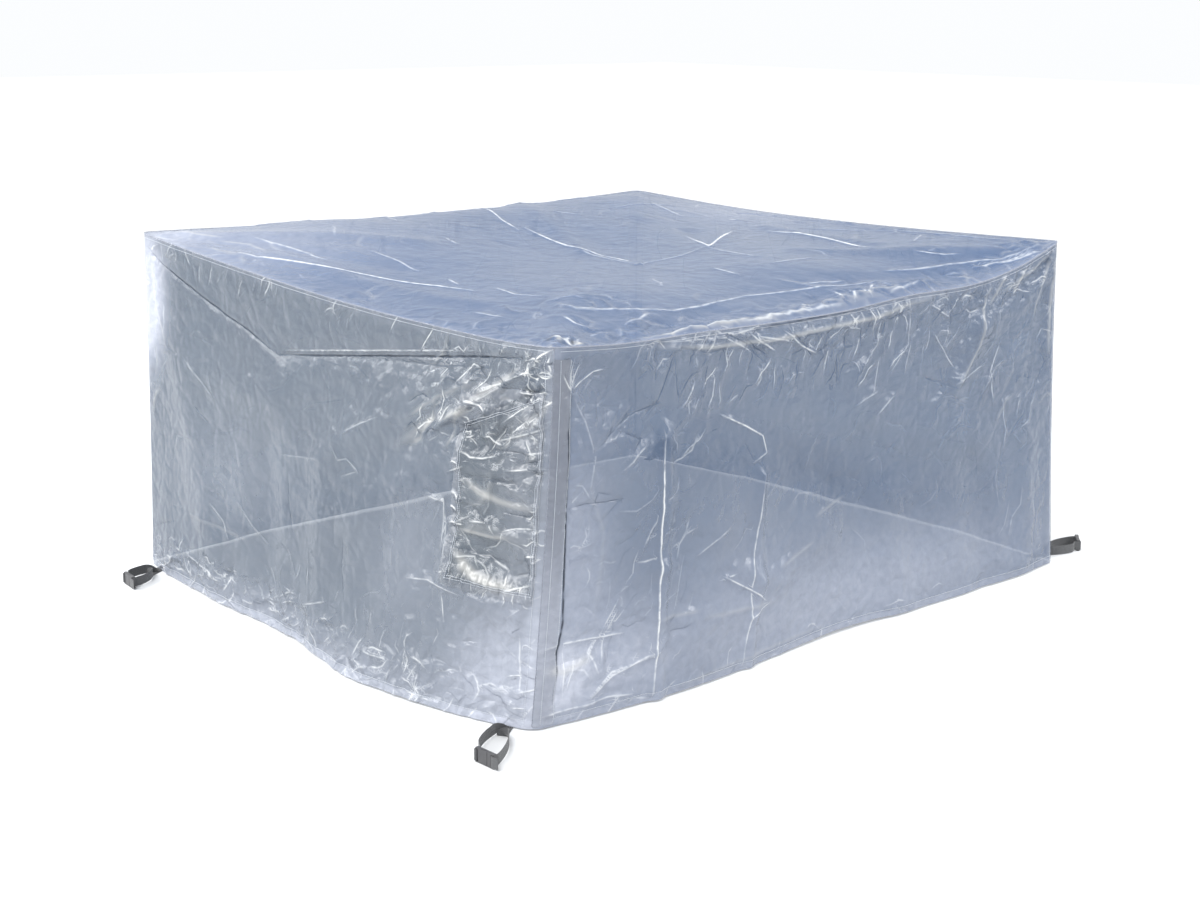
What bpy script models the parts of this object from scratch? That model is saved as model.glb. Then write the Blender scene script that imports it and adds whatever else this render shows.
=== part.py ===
"""Patio furniture cover of clear film, in the shape in which it hangs when in use.

Five film panels meet at seams along the rim and down the corners. Two more pieces are sewn on at the near
corner, and each short wall has two webbing straps with side-release buckles, lying on the ground. Heights are
given above the ground. The origin is under the middle of the top, so the whole cover is moved down to it.
"""

from collections import namedtuple
from math import cos, pi, radians, sin, sqrt

import bmesh
import bpy
import numpy as np
from mathutils import Matrix, Vector

# Driving dimensions, in metres. Long sides run along X, short sides along Y.
LENGTH = 1.85
WIDTH = 1.65
MOUNT_HEIGHT = 0.876  # of the origin, which lies just under the middle of the top
SHEET = 0.002
GAP = 0.0003
HEM_HEIGHT = 0.0038  # the hem hangs just clear of the strap tabs beneath it
CORNER_RADIUS = 0.03
COLUMN_STEP = 0.07  # widest spacing of a panel's grid lines

CORNER_INSET = CORNER_RADIUS * (1 - sqrt(0.5))  # how far a rounded corner's seam lies inside the sharp one
RIM_SHIFT = GAP / sqrt(2)  # of each of the two faces at the rim's mitre
SEAM_SHIFT = GAP / 2
FADE = 0.05  # folds fade to nothing over this distance from a seam
UP = np.array([0.0, 0.0, 1.0])

# The rim's sharp corners, and the hem's under them.
Corner = namedtuple("Corner", "rim_x rim_y rim_height hem_x hem_y")
LEFT = Corner(-0.920, 0.825, 0.912, -0.945, 0.815)
NEAR = Corner(-0.905, -0.828, 0.826, -0.974, -0.838)
RIGHT = Corner(0.925, -0.825, 0.903, 0.955, -0.850)
FAR = Corner(0.925, 0.825, 0.911, 0.945, 0.840)

# Along a side, as a share of its length: the rim's height and how far it is drawn in from a straight line,
# and how far the hem stands out from one and lifts.
Rim = namedtuple("Rim", "at height inset")
Hem = namedtuple("Hem", "at out lift")
END_NEAR_RIM = [
    Rim(0.00, 0.912, 0.000),
    Rim(0.12, 0.890, 0.004),
    Rim(0.34, 0.855, 0.012),
    Rim(0.52, 0.831, 0.020),
    Rim(0.77, 0.817, 0.018),
    Rim(0.91, 0.818, 0.008),
    Rim(1.00, 0.826, 0.000),
]
SIDE_NEAR_RIM = [
    Rim(0.00, 0.826, 0.000),
    Rim(0.10, 0.812, 0.006),
    Rim(0.25, 0.807, 0.014),
    Rim(0.39, 0.801, 0.020),
    Rim(0.54, 0.802, 0.022),
    Rim(0.65, 0.814, 0.020),
    Rim(0.82, 0.823, 0.010),
    Rim(0.91, 0.852, 0.004),
    Rim(1.00, 0.903, 0.000),
]
END_FAR_RIM = [
    Rim(0.00, 0.903, 0.000),
    Rim(0.30, 0.892, 0.008),
    Rim(0.50, 0.889, 0.010),
    Rim(0.70, 0.892, 0.008),
    Rim(1.00, 0.911, 0.000),
]
SIDE_FAR_RIM = [
    Rim(0.00, 0.911, 0.000),
    Rim(0.25, 0.897, 0.008),
    Rim(0.50, 0.893, 0.006),
    Rim(0.75, 0.900, 0.008),
    Rim(0.92, 0.909, 0.003),
    Rim(1.00, 0.912, 0.000),
]
END_NEAR_HEM = [
    Hem(0.00, 0.000, 0.000),
    Hem(0.05, 0.016, 0.000),
    Hem(0.24, 0.044, 0.003),
    Hem(0.40, 0.052, 0.001),
    Hem(0.50, 0.058, 0.004),
    Hem(0.60, 0.088, 0.002),
    Hem(0.68, 0.112, 0.001),
    Hem(0.76, 0.100, 0.003),
    Hem(0.91, 0.052, 0.000),
    Hem(1.00, 0.000, 0.000),
]
SIDE_NEAR_HEM = [
    Hem(0.00, 0.000, 0.000),
    Hem(0.09, 0.024, 0.001),
    Hem(0.245, 0.040, 0.002),
    Hem(0.36, 0.024, 0.000),
    Hem(0.52, 0.002, 0.006),
    Hem(0.70, 0.016, 0.001),
    Hem(0.86, 0.022, 0.002),
    Hem(1.00, 0.000, 0.000),
]
END_FAR_HEM = [
    Hem(0.00, 0.000, 0.000),
    Hem(0.22, 0.040, 0.002),
    Hem(0.50, 0.052, 0.004),
    Hem(0.80, 0.036, 0.001),
    Hem(1.00, 0.000, 0.000),
]
SIDE_FAR_HEM = [
    Hem(0.00, 0.000, 0.000),
    Hem(0.22, 0.030, 0.001),
    Hem(0.45, 0.018, 0.005),
    Hem(0.75, 0.036, 0.002),
    Hem(1.00, 0.000, 0.000),
]

# A wall's folds, each a straight ridge (rise above 0) or trough between two points: metres along the wall
# from its first corner, and height.
Fold = namedtuple("Fold", "at height to_at to_height width rise")
END_NEAR_FOLDS = [
    Fold(0.06, 0.860, 0.36, 0.765, 0.035, -0.011),  # the long crease down from the left corner
    Fold(0.36, 0.765, 0.66, 0.675, 0.035, -0.014),
    Fold(0.66, 0.675, 1.05, 0.720, 0.035, -0.014),  # and on towards the near corner
    Fold(1.05, 0.720, 1.44, 0.775, 0.030, -0.010),
    Fold(0.90, 0.500, 1.30, 0.690, 0.055, 0.013),  # broad diagonals drawn up to the near corner
    Fold(1.00, 0.330, 1.34, 0.560, 0.050, 0.010),
    Fold(0.20, 0.600, 0.62, 0.560, 0.060, 0.010),
    Fold(0.22, 0.520, 0.40, 0.080, 0.070, 0.012),  # soft columns down to the hem
    Fold(0.60, 0.420, 0.66, 0.060, 0.060, -0.012),
    Fold(0.86, 0.430, 0.92, 0.060, 0.060, 0.013),
    Fold(1.14, 0.380, 1.12, 0.060, 0.055, -0.010),
    Fold(1.38, 0.545, 1.60, 0.525, 0.030, 0.009),  # across the sewn-on patch
    Fold(1.38, 0.400, 1.60, 0.345, 0.035, -0.009),
    Fold(1.38, 0.290, 1.60, 0.230, 0.035, 0.008),
]
SIDE_NEAR_FOLDS = [
    Fold(0.342, 0.600, 0.330, 0.300, 0.020, 0.011),  # the first upright ridge, down to the hem
    Fold(0.330, 0.300, 0.316, 0.000, 0.020, 0.011),
    Fold(0.668, 0.450, 0.642, 0.200, 0.020, 0.010),  # the second, which leans
    Fold(0.642, 0.200, 0.616, 0.000, 0.020, 0.010),
    Fold(0.560, 0.250, 0.740, 0.180, 0.030, 0.009),  # the star that crosses it
    Fold(0.060, 0.760, 0.300, 0.640, 0.045, -0.010),  # drawn down from the near corner
    Fold(0.080, 0.600, 0.520, 0.360, 0.060, 0.010),
    Fold(0.040, 0.165, 0.220, 0.160, 0.030, -0.008),
    Fold(0.420, 0.120, 0.900, 0.260, 0.060, 0.010),  # broad soft diagonals lower down
    Fold(0.800, 0.420, 1.250, 0.200, 0.070, -0.012),
    Fold(1.000, 0.560, 1.500, 0.420, 0.070, 0.010),
    Fold(1.140, 0.300, 1.180, 0.040, 0.060, 0.012),
    Fold(1.480, 0.340, 1.520, 0.040, 0.060, -0.011),
    Fold(1.720, 0.400, 1.700, 0.050, 0.050, 0.010),
    Fold(0.680, 0.776, 1.200, 0.796, 0.025, 0.012),  # the roll just under the rim
    Fold(1.800, 0.850, 1.640, 0.770, 0.030, -0.011),  # a fan from the right corner
    Fold(1.800, 0.820, 1.520, 0.700, 0.035, 0.011),
    Fold(1.520, 0.700, 1.410, 0.560, 0.035, 0.010),
    Fold(1.810, 0.780, 1.760, 0.560, 0.035, -0.008),
]
END_FAR_FOLDS = [
    Fold(0.300, 0.650, 0.340, 0.050, 0.080, 0.014),
    Fold(0.760, 0.560, 0.800, 0.050, 0.080, -0.012),
    Fold(1.220, 0.620, 1.180, 0.050, 0.080, 0.014),
]
SIDE_FAR_FOLDS = [
    Fold(0.340, 0.620, 0.380, 0.050, 0.080, -0.012),
    Fold(0.860, 0.600, 0.820, 0.050, 0.080, 0.014),
    Fold(1.400, 0.640, 1.450, 0.050, 0.080, 0.013),
]

# How far a wall's grid lines lean sideways by the hem, so that they follow its leaning folds.
Lean = namedtuple("Lean", "at shift")
UPRIGHT = [Lean(0.0, 0.0), Lean(1.0, 0.0)]
SIDE_NEAR_LEAN = [Lean(0.0, 0.0), Lean(0.19, -0.024), Lean(0.38, -0.084), Lean(0.65, 0.0), Lean(1.0, 0.0)]

# The top: broad props and dips, and the creases between them, in plan.
CROWN = 0.058  # how far the middle stands above a sheet stretched between the four rims
Swell = namedtuple("Swell", "x y radius rise")
TOP_SWELLS = [
    Swell(-0.45, 0.62, 0.20, 0.012),
    Swell(0.08, 0.60, 0.18, 0.010),
    Swell(0.60, 0.60, 0.20, 0.010),
    Swell(-0.40, -0.50, 0.20, 0.010),
    Swell(0.15, -0.52, 0.19, 0.014),
    Swell(0.68, -0.56, 0.18, 0.014),
    Swell(-0.62, 0.02, 0.26, -0.014),
    Swell(0.60, 0.05, 0.26, -0.012),
    Swell(-0.10, 0.10, 0.24, -0.008),
]
Crease = namedtuple("Crease", "x y to_x to_y width rise")
TOP_CREASES = [
    Crease(-0.86, 0.76, -0.40, 0.30, 0.050, 0.007),  # fans of tension from the held corners
    Crease(-0.86, 0.70, -0.60, 0.10, 0.045, -0.006),
    Crease(0.86, -0.76, 0.40, -0.36, 0.050, 0.008),
    Crease(0.80, -0.77, 0.20, -0.66, 0.045, -0.007),
    Crease(0.86, 0.76, 0.42, 0.30, 0.050, 0.007),
    Crease(-0.78, 0.40, -0.71, -0.34, 0.040, 0.006),
    Crease(0.35, 0.80, -0.06, 0.00, 0.040, 0.006),
    Crease(0.42, 0.08, 0.29, -0.12, 0.040, -0.006),
    Crease(0.55, 0.04, 0.29, -0.12, 0.040, 0.006),
    Crease(0.69, 0.02, 0.62, -0.42, 0.040, 0.006),
    Crease(-0.84, -0.76, -0.55, -0.50, 0.060, 0.010),  # the slack near corner
    Crease(-0.70, -0.78, -0.30, -0.70, 0.040, -0.008),
    Crease(-0.10, -0.775, 0.42, -0.765, 0.030, 0.010),  # the upper roll along the rim
]

Side = namedtuple("Side", "name first last outward rim hem folds lean")
END_NEAR = Side("end_wall_near", LEFT, NEAR, (-1, 0), END_NEAR_RIM, END_NEAR_HEM, END_NEAR_FOLDS, UPRIGHT)
SIDE_NEAR = Side(
    "side_wall_near", NEAR, RIGHT, (0, -1), SIDE_NEAR_RIM, SIDE_NEAR_HEM, SIDE_NEAR_FOLDS, SIDE_NEAR_LEAN
)
END_FAR = Side("end_wall_far", RIGHT, FAR, (1, 0), END_FAR_RIM, END_FAR_HEM, END_FAR_FOLDS, UPRIGHT)
SIDE_FAR = Side("side_wall_far", FAR, LEFT, (0, 1), SIDE_FAR_RIM, SIDE_FAR_HEM, SIDE_FAR_FOLDS, UPRIGHT)

# Pieces sewn on at the near corner: their edges, along the wall and as shares of its height from the rim.
PATCH_FIRST, PATCH_LAST = 1.355, 1.625
PATCH_TOP, PATCH_BOTTOM = 0.12, 0.67
BAND_WIDTH = 0.052
BAND_TOP = 0.03

# Grid lines that carry a ridge or an edge, along the long and the short sides.
LONG_MARKS = [BAND_WIDTH, 0.318, 0.342, 0.366, 0.676, 0.700, 0.724]
SHORT_MARKS = [WIDTH - PATCH_LAST, WIDTH - PATCH_FIRST]
NEAR_ROW_MARKS = [0, BAND_TOP, PATCH_TOP, PATCH_BOTTOM, 0.955, 1]
FAR_ROW_MARKS = [0, 0.05, 0.95, 1]
NEAR_ROW_STEP = 0.085
FAR_ROW_STEP = 0.16

# Straps: flat under the hem as a sewn tab, then turned on edge, spread into a loop and closed by a buckle.
WEB_WIDTH = 0.025
WEB_THICKNESS = 0.0016
BUCKLE_LENGTH = 0.060
BUCKLE_HEIGHT = 0.033
BUCKLE_THICKNESS = 0.009
BUCKLE_YAW = radians(38)  # the plug's end lies farther out than the socket's
SOCKET_LENGTH = 0.038
BAR = 0.004  # of each buckle half, around which its webbing goes
SLOT = 0.0055
SLOT_HEIGHT = 0.0275
BRIDGE = 0.0025  # between the socket's slot and its hollow
HOLLOW_HALF = 0.003  # half the socket's hollow, across the buckle's thickness
RAIL = 0.003  # the socket's wall above and below its hollow
WINDOW_START, WINDOW_END = 0.006, 0.007  # of the button's opening, from the hollow's end and from the mouth
PRONG_HEIGHT = 0.0045
GUIDE_HEIGHT = 0.004  # the middle prong
BUTTON_PROUD = 0.0004
ROOT = 0.001  # how far added pieces reach into what they join
EASE = 0.0004  # around the plug's prongs, inside the socket

Strap = namedtuple("Strap", "name side at turn reach")
STRAPS = [
    Strap("strap_near", END_NEAR, 1.590, 38, 0.210),
    Strap("strap_left", END_NEAR, 0.080, 30, 0.155),
    Strap("strap_right", END_FAR, 0.070, -12, 0.165),
    Strap("strap_far", END_FAR, 1.585, 20, 0.165),
]
# The two webs of a strap lie one on the other as a tab. Then the upper one turns up on its left edge and the
# lower one on its right. From inside the hem outwards: how far out and aside, the height of the web's middle,
# and how far it has turned from flat.
Start = namedtuple("Start", "out aside height turn")
SOCKET_START = [
    Start(-0.020, 0.0000, 0.00275, 0),
    Start(0.024, 0.0000, 0.00275, 0),
    Start(0.031, -0.0017, 0.0083, 25),
    Start(0.038, -0.0079, 0.0131, 58),
    Start(0.045, -0.0170, 0.0137, 90),
]
PLUG_START = [
    Start(-0.020, 0.0000, 0.00085, 0),
    Start(0.045, 0.0000, 0.00085, 0),
    Start(0.053, 0.0022, 0.0076, -30),
    Start(0.060, 0.0091, 0.0124, -62),
    Start(0.067, 0.0175, 0.0137, -90),
]
# The rest of each web. First the share of the way from there to the buckle, and how far aside, then around the
# buckle's bar: how far along the buckle from its middle, and how far beyond it.
Loop = namedtuple("Loop", "share aside")
SOCKET_LOOP = [Loop(0.12, -0.0225), Loop(0.27, -0.0275), Loop(0.45, -0.0305), Loop(0.62, -0.0295)]
PLUG_LOOP = [Loop(0.15, 0.0225), Loop(0.34, 0.0275), Loop(0.60, 0.0300), Loop(0.85, 0.0290)]
Wrap = namedtuple("Wrap", "along beyond")
SOCKET_WRAP = [
    Wrap(-0.0345, -0.0120),
    Wrap(-0.0322, -0.0050),
    Wrap(-0.0315, 0.0020),
    Wrap(-0.0309, 0.0054),
    Wrap(-0.0283, 0.0067),
    Wrap(-0.0252, 0.0058),
    Wrap(-0.0243, 0.0035),
    Wrap(-0.0243, -0.0030),
    Wrap(-0.0243, -0.0085),
]
PLUG_WRAP = [
    Wrap(0.0215, -0.0150),
    Wrap(0.0232, -0.0080),
    Wrap(0.0237, -0.0020),
    Wrap(0.0239, 0.0040),
    Wrap(0.0252, 0.0064),
    Wrap(0.0300, 0.0070),
    Wrap(0.0370, 0.0066),
    Wrap(0.0450, 0.0058),
]

FILM_BLUE = (0.52, 0.60, 0.70, 1)
FILM_PALE = (0.60, 0.66, 0.73, 1)
WEB_GREY = (0.10, 0.105, 0.11, 1)
BUCKLE_GREY = (0.13, 0.13, 0.135, 1)


def clear_scene():
    for item in list(bpy.data.objects):
        bpy.data.objects.remove(item, do_unlink=True)


def material(name, colour, roughness):
    made = bpy.data.materials.new(name)
    made.use_nodes = True
    surface = made.node_tree.nodes["Principled BSDF"]
    surface.inputs["Base Color"].default_value = colour
    surface.inputs["Roughness"].default_value = roughness
    surface.inputs["Metallic"].default_value = 0.0
    return made


def place(name, mesh, colour, roughness, matrix=None):
    """One named object with its own material, lowered from ground heights to the part's origin."""
    item = bpy.data.objects.new(name, mesh)
    bpy.context.scene.collection.objects.link(item)
    item.matrix_world = Matrix.Translation((0, 0, -MOUNT_HEIGHT)) @ (matrix or Matrix())
    if not mesh.materials:
        mesh.materials.append(None)
    item.material_slots[0].link = "OBJECT"
    item.material_slots[0].material = material(name, colour, roughness)
    return item


# Curves and surfaces ---------------------------------------------------------------------------------------


def through(table, column, at):
    """A smooth curve through one column of a table, read at shares along it."""
    x = np.array([row.at for row in table])
    y = np.array([getattr(row, column) for row in table])
    slope = np.gradient(y, x)
    at = np.clip(at, 0, 1)
    k = np.clip(np.searchsorted(x, at, side="right") - 1, 0, len(x) - 2)
    step = x[k + 1] - x[k]
    t = (at - x[k]) / step
    return (
        (2 * t**3 - 3 * t**2 + 1) * y[k]
        + (t**3 - 2 * t**2 + t) * step * slope[k]
        + (3 * t**2 - 2 * t**3) * y[k + 1]
        + (t**3 - t**2) * step * slope[k + 1]
    )


def ridges(first, second, table):
    """The summed rise of a table's folds at each point of a panel, given by its two flat coordinates."""
    rise = np.zeros(np.shape(first))
    for row in table:
        start, end = np.array(row[0:2]), np.array(row[2:4])
        run = end - start
        share = ((first - start[0]) * run[0] + (second - start[1]) * run[1]) / (run @ run)
        share = np.clip(share, 0, 1)
        away = np.hypot(first - start[0] - share * run[0], second - start[1] - share * run[1])
        rise += row.rise * np.exp(-((away / row.width) ** 2))
    return rise


def smooth(share):
    share = np.clip(share, 0, 1)
    return share * share * (3 - 2 * share)


def divide(marks, step):
    """Grid positions through all the marks, no farther apart than about one step."""
    marks = sorted(marks)
    found = [marks[0]]
    for low, high in zip(marks, marks[1:]):
        count = max(1, round((high - low) / step))
        found += [low + (high - low) * k / count for k in range(1, count + 1)]
    return np.array(found)


def columns(length, marks):
    """Grid lines along a side, as shares from seam to seam, close together round its corners."""
    corner = [CORNER_INSET, CORNER_RADIUS * 0.53, CORNER_RADIUS]
    lines = divide([*corner, *marks, *[length - x for x in corner]], COLUMN_STEP)
    return (lines - CORNER_INSET) / (length - 2 * CORNER_INSET)


def directions(side):
    outward = np.array([*side.outward, 0.0])
    return outward, np.cross(UP, outward)


def rounding(distance):
    """How far a rounded corner lies inside the wall's plane, this far from the sharp corner."""
    inside = np.clip(CORNER_RADIUS - distance, 0, CORNER_RADIUS)
    return CORNER_RADIUS - np.sqrt(CORNER_RADIUS**2 - inside**2)


def edge_points(side, share, which):
    """Points along a side's rim or hem."""
    outward, along = directions(side)
    hem = which == "hem"
    first, last = (
        np.array([c.hem_x, c.hem_y, 0]) if hem else np.array([c.rim_x, c.rim_y, 0])
        for c in (side.first, side.last)
    )
    length = float(np.linalg.norm(last - first))
    first = first + along * CORNER_INSET
    last = last - along * CORNER_INSET
    distance = CORNER_INSET + share * (length - 2 * CORNER_INSET)
    out = through(side.hem, "out", share) if hem else -through(side.rim, "inset", share)
    out = out - rounding(distance) - rounding(length - distance)
    height = HEM_HEIGHT + through(side.hem, "lift", share) if hem else through(side.rim, "height", share)
    flat = first + (last - first) * share[..., None] + outward * out[..., None]
    return flat + UP * height[..., None]


def plan_normals(side, share):
    """The way a side faces in plan, turning to the diagonal at its two corners."""
    outward, along = directions(side)
    length = LENGTH if side.outward[0] == 0 else WIDTH
    distance = CORNER_INSET + share * (length - 2 * CORNER_INSET)
    before = np.clip(1 - distance / CORNER_RADIUS, 0, 1)
    after = np.clip(1 - (length - distance) / CORNER_RADIUS, 0, 1)
    turn = after - before
    return outward * np.sqrt(1 - turn**2)[..., None] + along * turn[..., None]


def wall_points(side, share, down):
    """A wall's middle surface: one row for each share of its height from the rim, one column along it."""
    length = LENGTH if side.outward[0] == 0 else WIDTH
    share, down = np.meshgrid(share, down)
    share = share + through(side.lean, "shift", share) * down / length
    rim = edge_points(side, share, "rim")
    hem = edge_points(side, share, "hem")
    flare = down**1.4
    points = rim + (hem - rim) * flare[..., None]
    points[..., 2] = rim[..., 2] + (hem[..., 2] - rim[..., 2]) * down
    near_edge = np.minimum(share * length, (1 - share) * length)
    faded = smooth(near_edge / FADE) * smooth(down * points[..., 2].max() / FADE)
    outward, _ = directions(side)
    rise = ridges(share * length, points[..., 2], side.folds) * faded
    return points + outward * rise[..., None]


def top_points(long_share, short_share):
    """The top's middle surface, between its four rims: rows from the near side to the far, columns along X."""
    near = edge_points(SIDE_NEAR, long_share, "rim")
    far = edge_points(SIDE_FAR, 1 - long_share, "rim")
    left = edge_points(END_NEAR, 1 - short_share, "rim")
    right = edge_points(END_FAR, short_share, "rim")
    u, v = (grid[..., None] for grid in np.meshgrid(long_share, short_share))
    corners = (1 - v) * ((1 - u) * near[0] + u * near[-1]) + v * ((1 - u) * far[0] + u * far[-1])
    sheet = (1 - v) * near + v * far + (1 - u) * left[:, None] + u * right[:, None] - corners
    plateau = ((1 - (2 * u - 1) ** 4) * (1 - (2 * v - 1) ** 4))[..., 0]
    x, y = sheet[..., 0], sheet[..., 1]
    rise = ridges(x, y, TOP_CREASES)
    for row in TOP_SWELLS:
        rise += row.rise * np.exp(-((x - row.x) ** 2 + (y - row.y) ** 2) / row.radius**2)
    inside = np.minimum.reduce([u * LENGTH, (1 - u) * LENGTH, v * WIDTH, (1 - v) * WIDTH])[..., 0]
    sheet[..., 2] += CROWN * plateau + rise * smooth(inside / FADE)
    return sheet


def facing(points):
    """Unit normals of a grid of points, to the side from which its columns run left to right, rows down."""
    across = np.gradient(points, axis=1)
    down = np.gradient(points, axis=0)
    normals = np.cross(down, across)
    return normals / np.linalg.norm(normals, axis=-1, keepdims=True)


def sheet_mesh(name, outer, inner):
    """A closed sheet between two grids of points, each cell cut along the same diagonal on both faces."""
    rows, cols = outer.shape[:2]
    count = rows * cols

    def at(i, j, face):
        return face * count + i * cols + j

    faces = []
    for i in range(rows - 1):
        for j in range(cols - 1):
            a, b, c, d = at(i, j, 0), at(i + 1, j, 0), at(i + 1, j + 1, 0), at(i, j + 1, 0)
            faces += [(a, b, c), (a, c, d)]
            faces += [(c + count, b + count, a + count), (d + count, c + count, a + count)]
    loop = [(0, j) for j in range(cols - 1)] + [(i, cols - 1) for i in range(rows - 1)]
    loop += [(rows - 1, j) for j in range(cols - 1, 0, -1)] + [(i, 0) for i in range(rows - 1, 0, -1)]
    for (i, j), (k, m) in zip(loop, loop[1:] + loop[:1]):
        faces.append((at(i, j, 0), at(k, m, 0), at(k, m, 1)))
        faces.append((at(i, j, 0), at(k, m, 1), at(i, j, 1)))
    points = np.concatenate([outer.reshape(-1, 3), inner.reshape(-1, 3)])
    mesh = bpy.data.meshes.new(name)
    mesh.from_pydata(points.tolist(), [], faces)
    tool = bmesh.new()
    tool.from_mesh(mesh)
    bmesh.ops.recalc_face_normals(tool, faces=tool.faces)
    tool.to_mesh(mesh)
    tool.free()
    mesh.shade_smooth()
    mesh.set_sharp_from_angle(angle=radians(40))
    return mesh


# Panels ----------------------------------------------------------------------------------------------------


def wall_layers(side, share, down):
    """A wall's middle points, its half-thickness vectors, and the small shifts that part it at the seams."""
    points = wall_points(side, share, down)
    half = facing(points)
    flat = plan_normals(side, share)
    half[:, 0], half[:, -1] = flat[0], flat[-1]
    half[-1] = flat
    half[0] = flat + UP
    outward, along = directions(side)
    shift = np.zeros_like(points)
    shift[:, 0] += (along + outward) * SEAM_SHIFT / sqrt(2)
    shift[:, -1] += (outward - along) * SEAM_SHIFT / sqrt(2)
    shift[0] -= UP * RIM_SHIFT
    return points + shift, half * SHEET / 2


def make_wall(side, share, down, colour):
    points, half = wall_layers(side, share, down)
    place(side.name, sheet_mesh(side.name, points + half, points - half), colour, 0.25)
    return points, half


def make_top(long_share, short_share):
    points = top_points(long_share, short_share)
    half = facing(points) * -1
    edges = {
        "near": (plan_normals(SIDE_NEAR, long_share), np.s_[0, :]),
        "far": (plan_normals(SIDE_FAR, 1 - long_share), np.s_[-1, :]),
        "left": (plan_normals(END_NEAR, 1 - short_share), np.s_[:, 0]),
        "right": (plan_normals(END_FAR, short_share), np.s_[:, -1]),
    }
    for flat, where in edges.values():
        half[where] = flat + UP
    for flat, where in edges.values():
        points[where] -= flat * RIM_SHIFT
    for i, j in ((0, 0), (0, -1), (-1, 0), (-1, -1)):
        points[i, j, :2] += (half[i, j] * RIM_SHIFT)[:2]  # a corner belongs to two edges, and moves only once
    half *= SHEET / 2
    place("top_panel", sheet_mesh("top_panel", points + half, points - half), FILM_BLUE, 0.25)


def make_overlay(name, points, half, rows, cols, colour):
    """A piece sewn on a wall: a sheet just outside some of the wall's own cells."""
    points, half = points[rows, cols], half[rows, cols]
    inner = points + half * (1 + 2 * GAP / SHEET)
    outer = points + half * (3 + 2 * GAP / SHEET)
    place(name, sheet_mesh(name, outer, inner), colour, 0.18)


def span(grid, low, high):
    """The slice of a sorted grid from the line nearest to low to the one nearest to high."""
    return slice(int(np.abs(grid - low).argmin()), int(np.abs(grid - high).argmin()) + 1)


def make_panels():
    long_share = columns(LENGTH, LONG_MARKS)
    short_share = columns(WIDTH, SHORT_MARKS)
    near_rows = divide(NEAR_ROW_MARKS, NEAR_ROW_STEP)
    far_rows = divide(FAR_ROW_MARKS, FAR_ROW_STEP)
    make_top(long_share, short_share)
    end_points, end_half = make_wall(END_NEAR, (1 - short_share)[::-1], near_rows, FILM_PALE)
    side_points, side_half = make_wall(SIDE_NEAR, long_share, near_rows, FILM_BLUE)
    make_wall(END_FAR, short_share, far_rows, FILM_PALE)
    make_wall(SIDE_FAR, (1 - long_share)[::-1], far_rows, FILM_BLUE)

    end_metres = CORNER_INSET + (1 - short_share)[::-1] * (WIDTH - 2 * CORNER_INSET)
    side_metres = CORNER_INSET + long_share * (LENGTH - 2 * CORNER_INSET)
    patch_cols = span(end_metres, PATCH_FIRST, PATCH_LAST)
    patch_rows = span(near_rows, PATCH_TOP, PATCH_BOTTOM)
    make_overlay("corner_patch", end_points, end_half, patch_rows, patch_cols, FILM_PALE)
    band_cols = span(side_metres, CORNER_INSET, BAND_WIDTH)
    band_rows = span(near_rows, BAND_TOP, 1)
    make_overlay("corner_band", side_points, side_half, band_rows, band_cols, FILM_PALE)


# Straps ----------------------------------------------------------------------------------------------------


def box(low, high):
    """A box mesh between two corners."""
    low, high = Vector(low), Vector(high)
    tool = bmesh.new()
    bmesh.ops.create_cube(tool, size=1, matrix=Matrix.Translation((low + high) / 2))
    for vertex in tool.verts:
        vertex.co = Vector(
            (low[i] if vertex.co[i] < (low[i] + high[i]) / 2 else high[i]) for i in range(3)
        )
    mesh = bpy.data.meshes.new("box")
    tool.to_mesh(mesh)
    tool.free()
    return mesh


def combine(name, base, tools, bevel):
    """A box mesh, rounded at its edges, with other boxes added or cut out."""
    body = bpy.data.objects.new(name, base)
    bpy.context.scene.collection.objects.link(body)
    rounded = body.modifiers.new("rounded", "BEVEL")
    rounded.width = bevel
    rounded.segments = 2
    helpers = [body]
    for operation, mesh in tools:
        helper = bpy.data.objects.new("helper", mesh)
        bpy.context.scene.collection.objects.link(helper)
        step = body.modifiers.new(operation.lower(), "BOOLEAN")
        step.operation = operation
        step.object = helper
        helpers.append(helper)
    bpy.context.view_layer.update()
    graph = bpy.context.evaluated_depsgraph_get()
    result = bpy.data.meshes.new_from_object(body.evaluated_get(graph))
    result.name = name
    for helper in helpers:
        bpy.data.objects.remove(helper, do_unlink=True)
    result.shade_smooth()
    result.set_sharp_from_angle(angle=radians(40))
    return result


def socket_mesh():
    """The buckle's socket: hollow from its mouth, open at both sides, with a bar at its far end."""
    half_long, half_thick, half_high = BUCKLE_LENGTH / 2, BUCKLE_THICKNESS / 2, BUCKLE_HEIGHT / 2
    mouth = -half_long + SOCKET_LENGTH
    slot = -half_long + BAR
    hollow_end = slot + SLOT + BRIDGE
    start, end = hollow_end + WINDOW_START, mouth - WINDOW_END
    body = box((-half_long, -half_thick, -half_high), (mouth, half_thick, half_high))
    cuts = [
        box((slot, -BUCKLE_THICKNESS, -SLOT_HEIGHT / 2), (slot + SLOT, BUCKLE_THICKNESS, SLOT_HEIGHT / 2)),
        box((hollow_end, -HOLLOW_HALF, RAIL - half_high), (mouth + ROOT, HOLLOW_HALF, half_high - RAIL)),
        box((start, -HOLLOW_HALF, -BUCKLE_HEIGHT), (end, HOLLOW_HALF, BUCKLE_HEIGHT)),
    ]
    return combine("socket", body, [("DIFFERENCE", cut) for cut in cuts], 0.0016)


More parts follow.
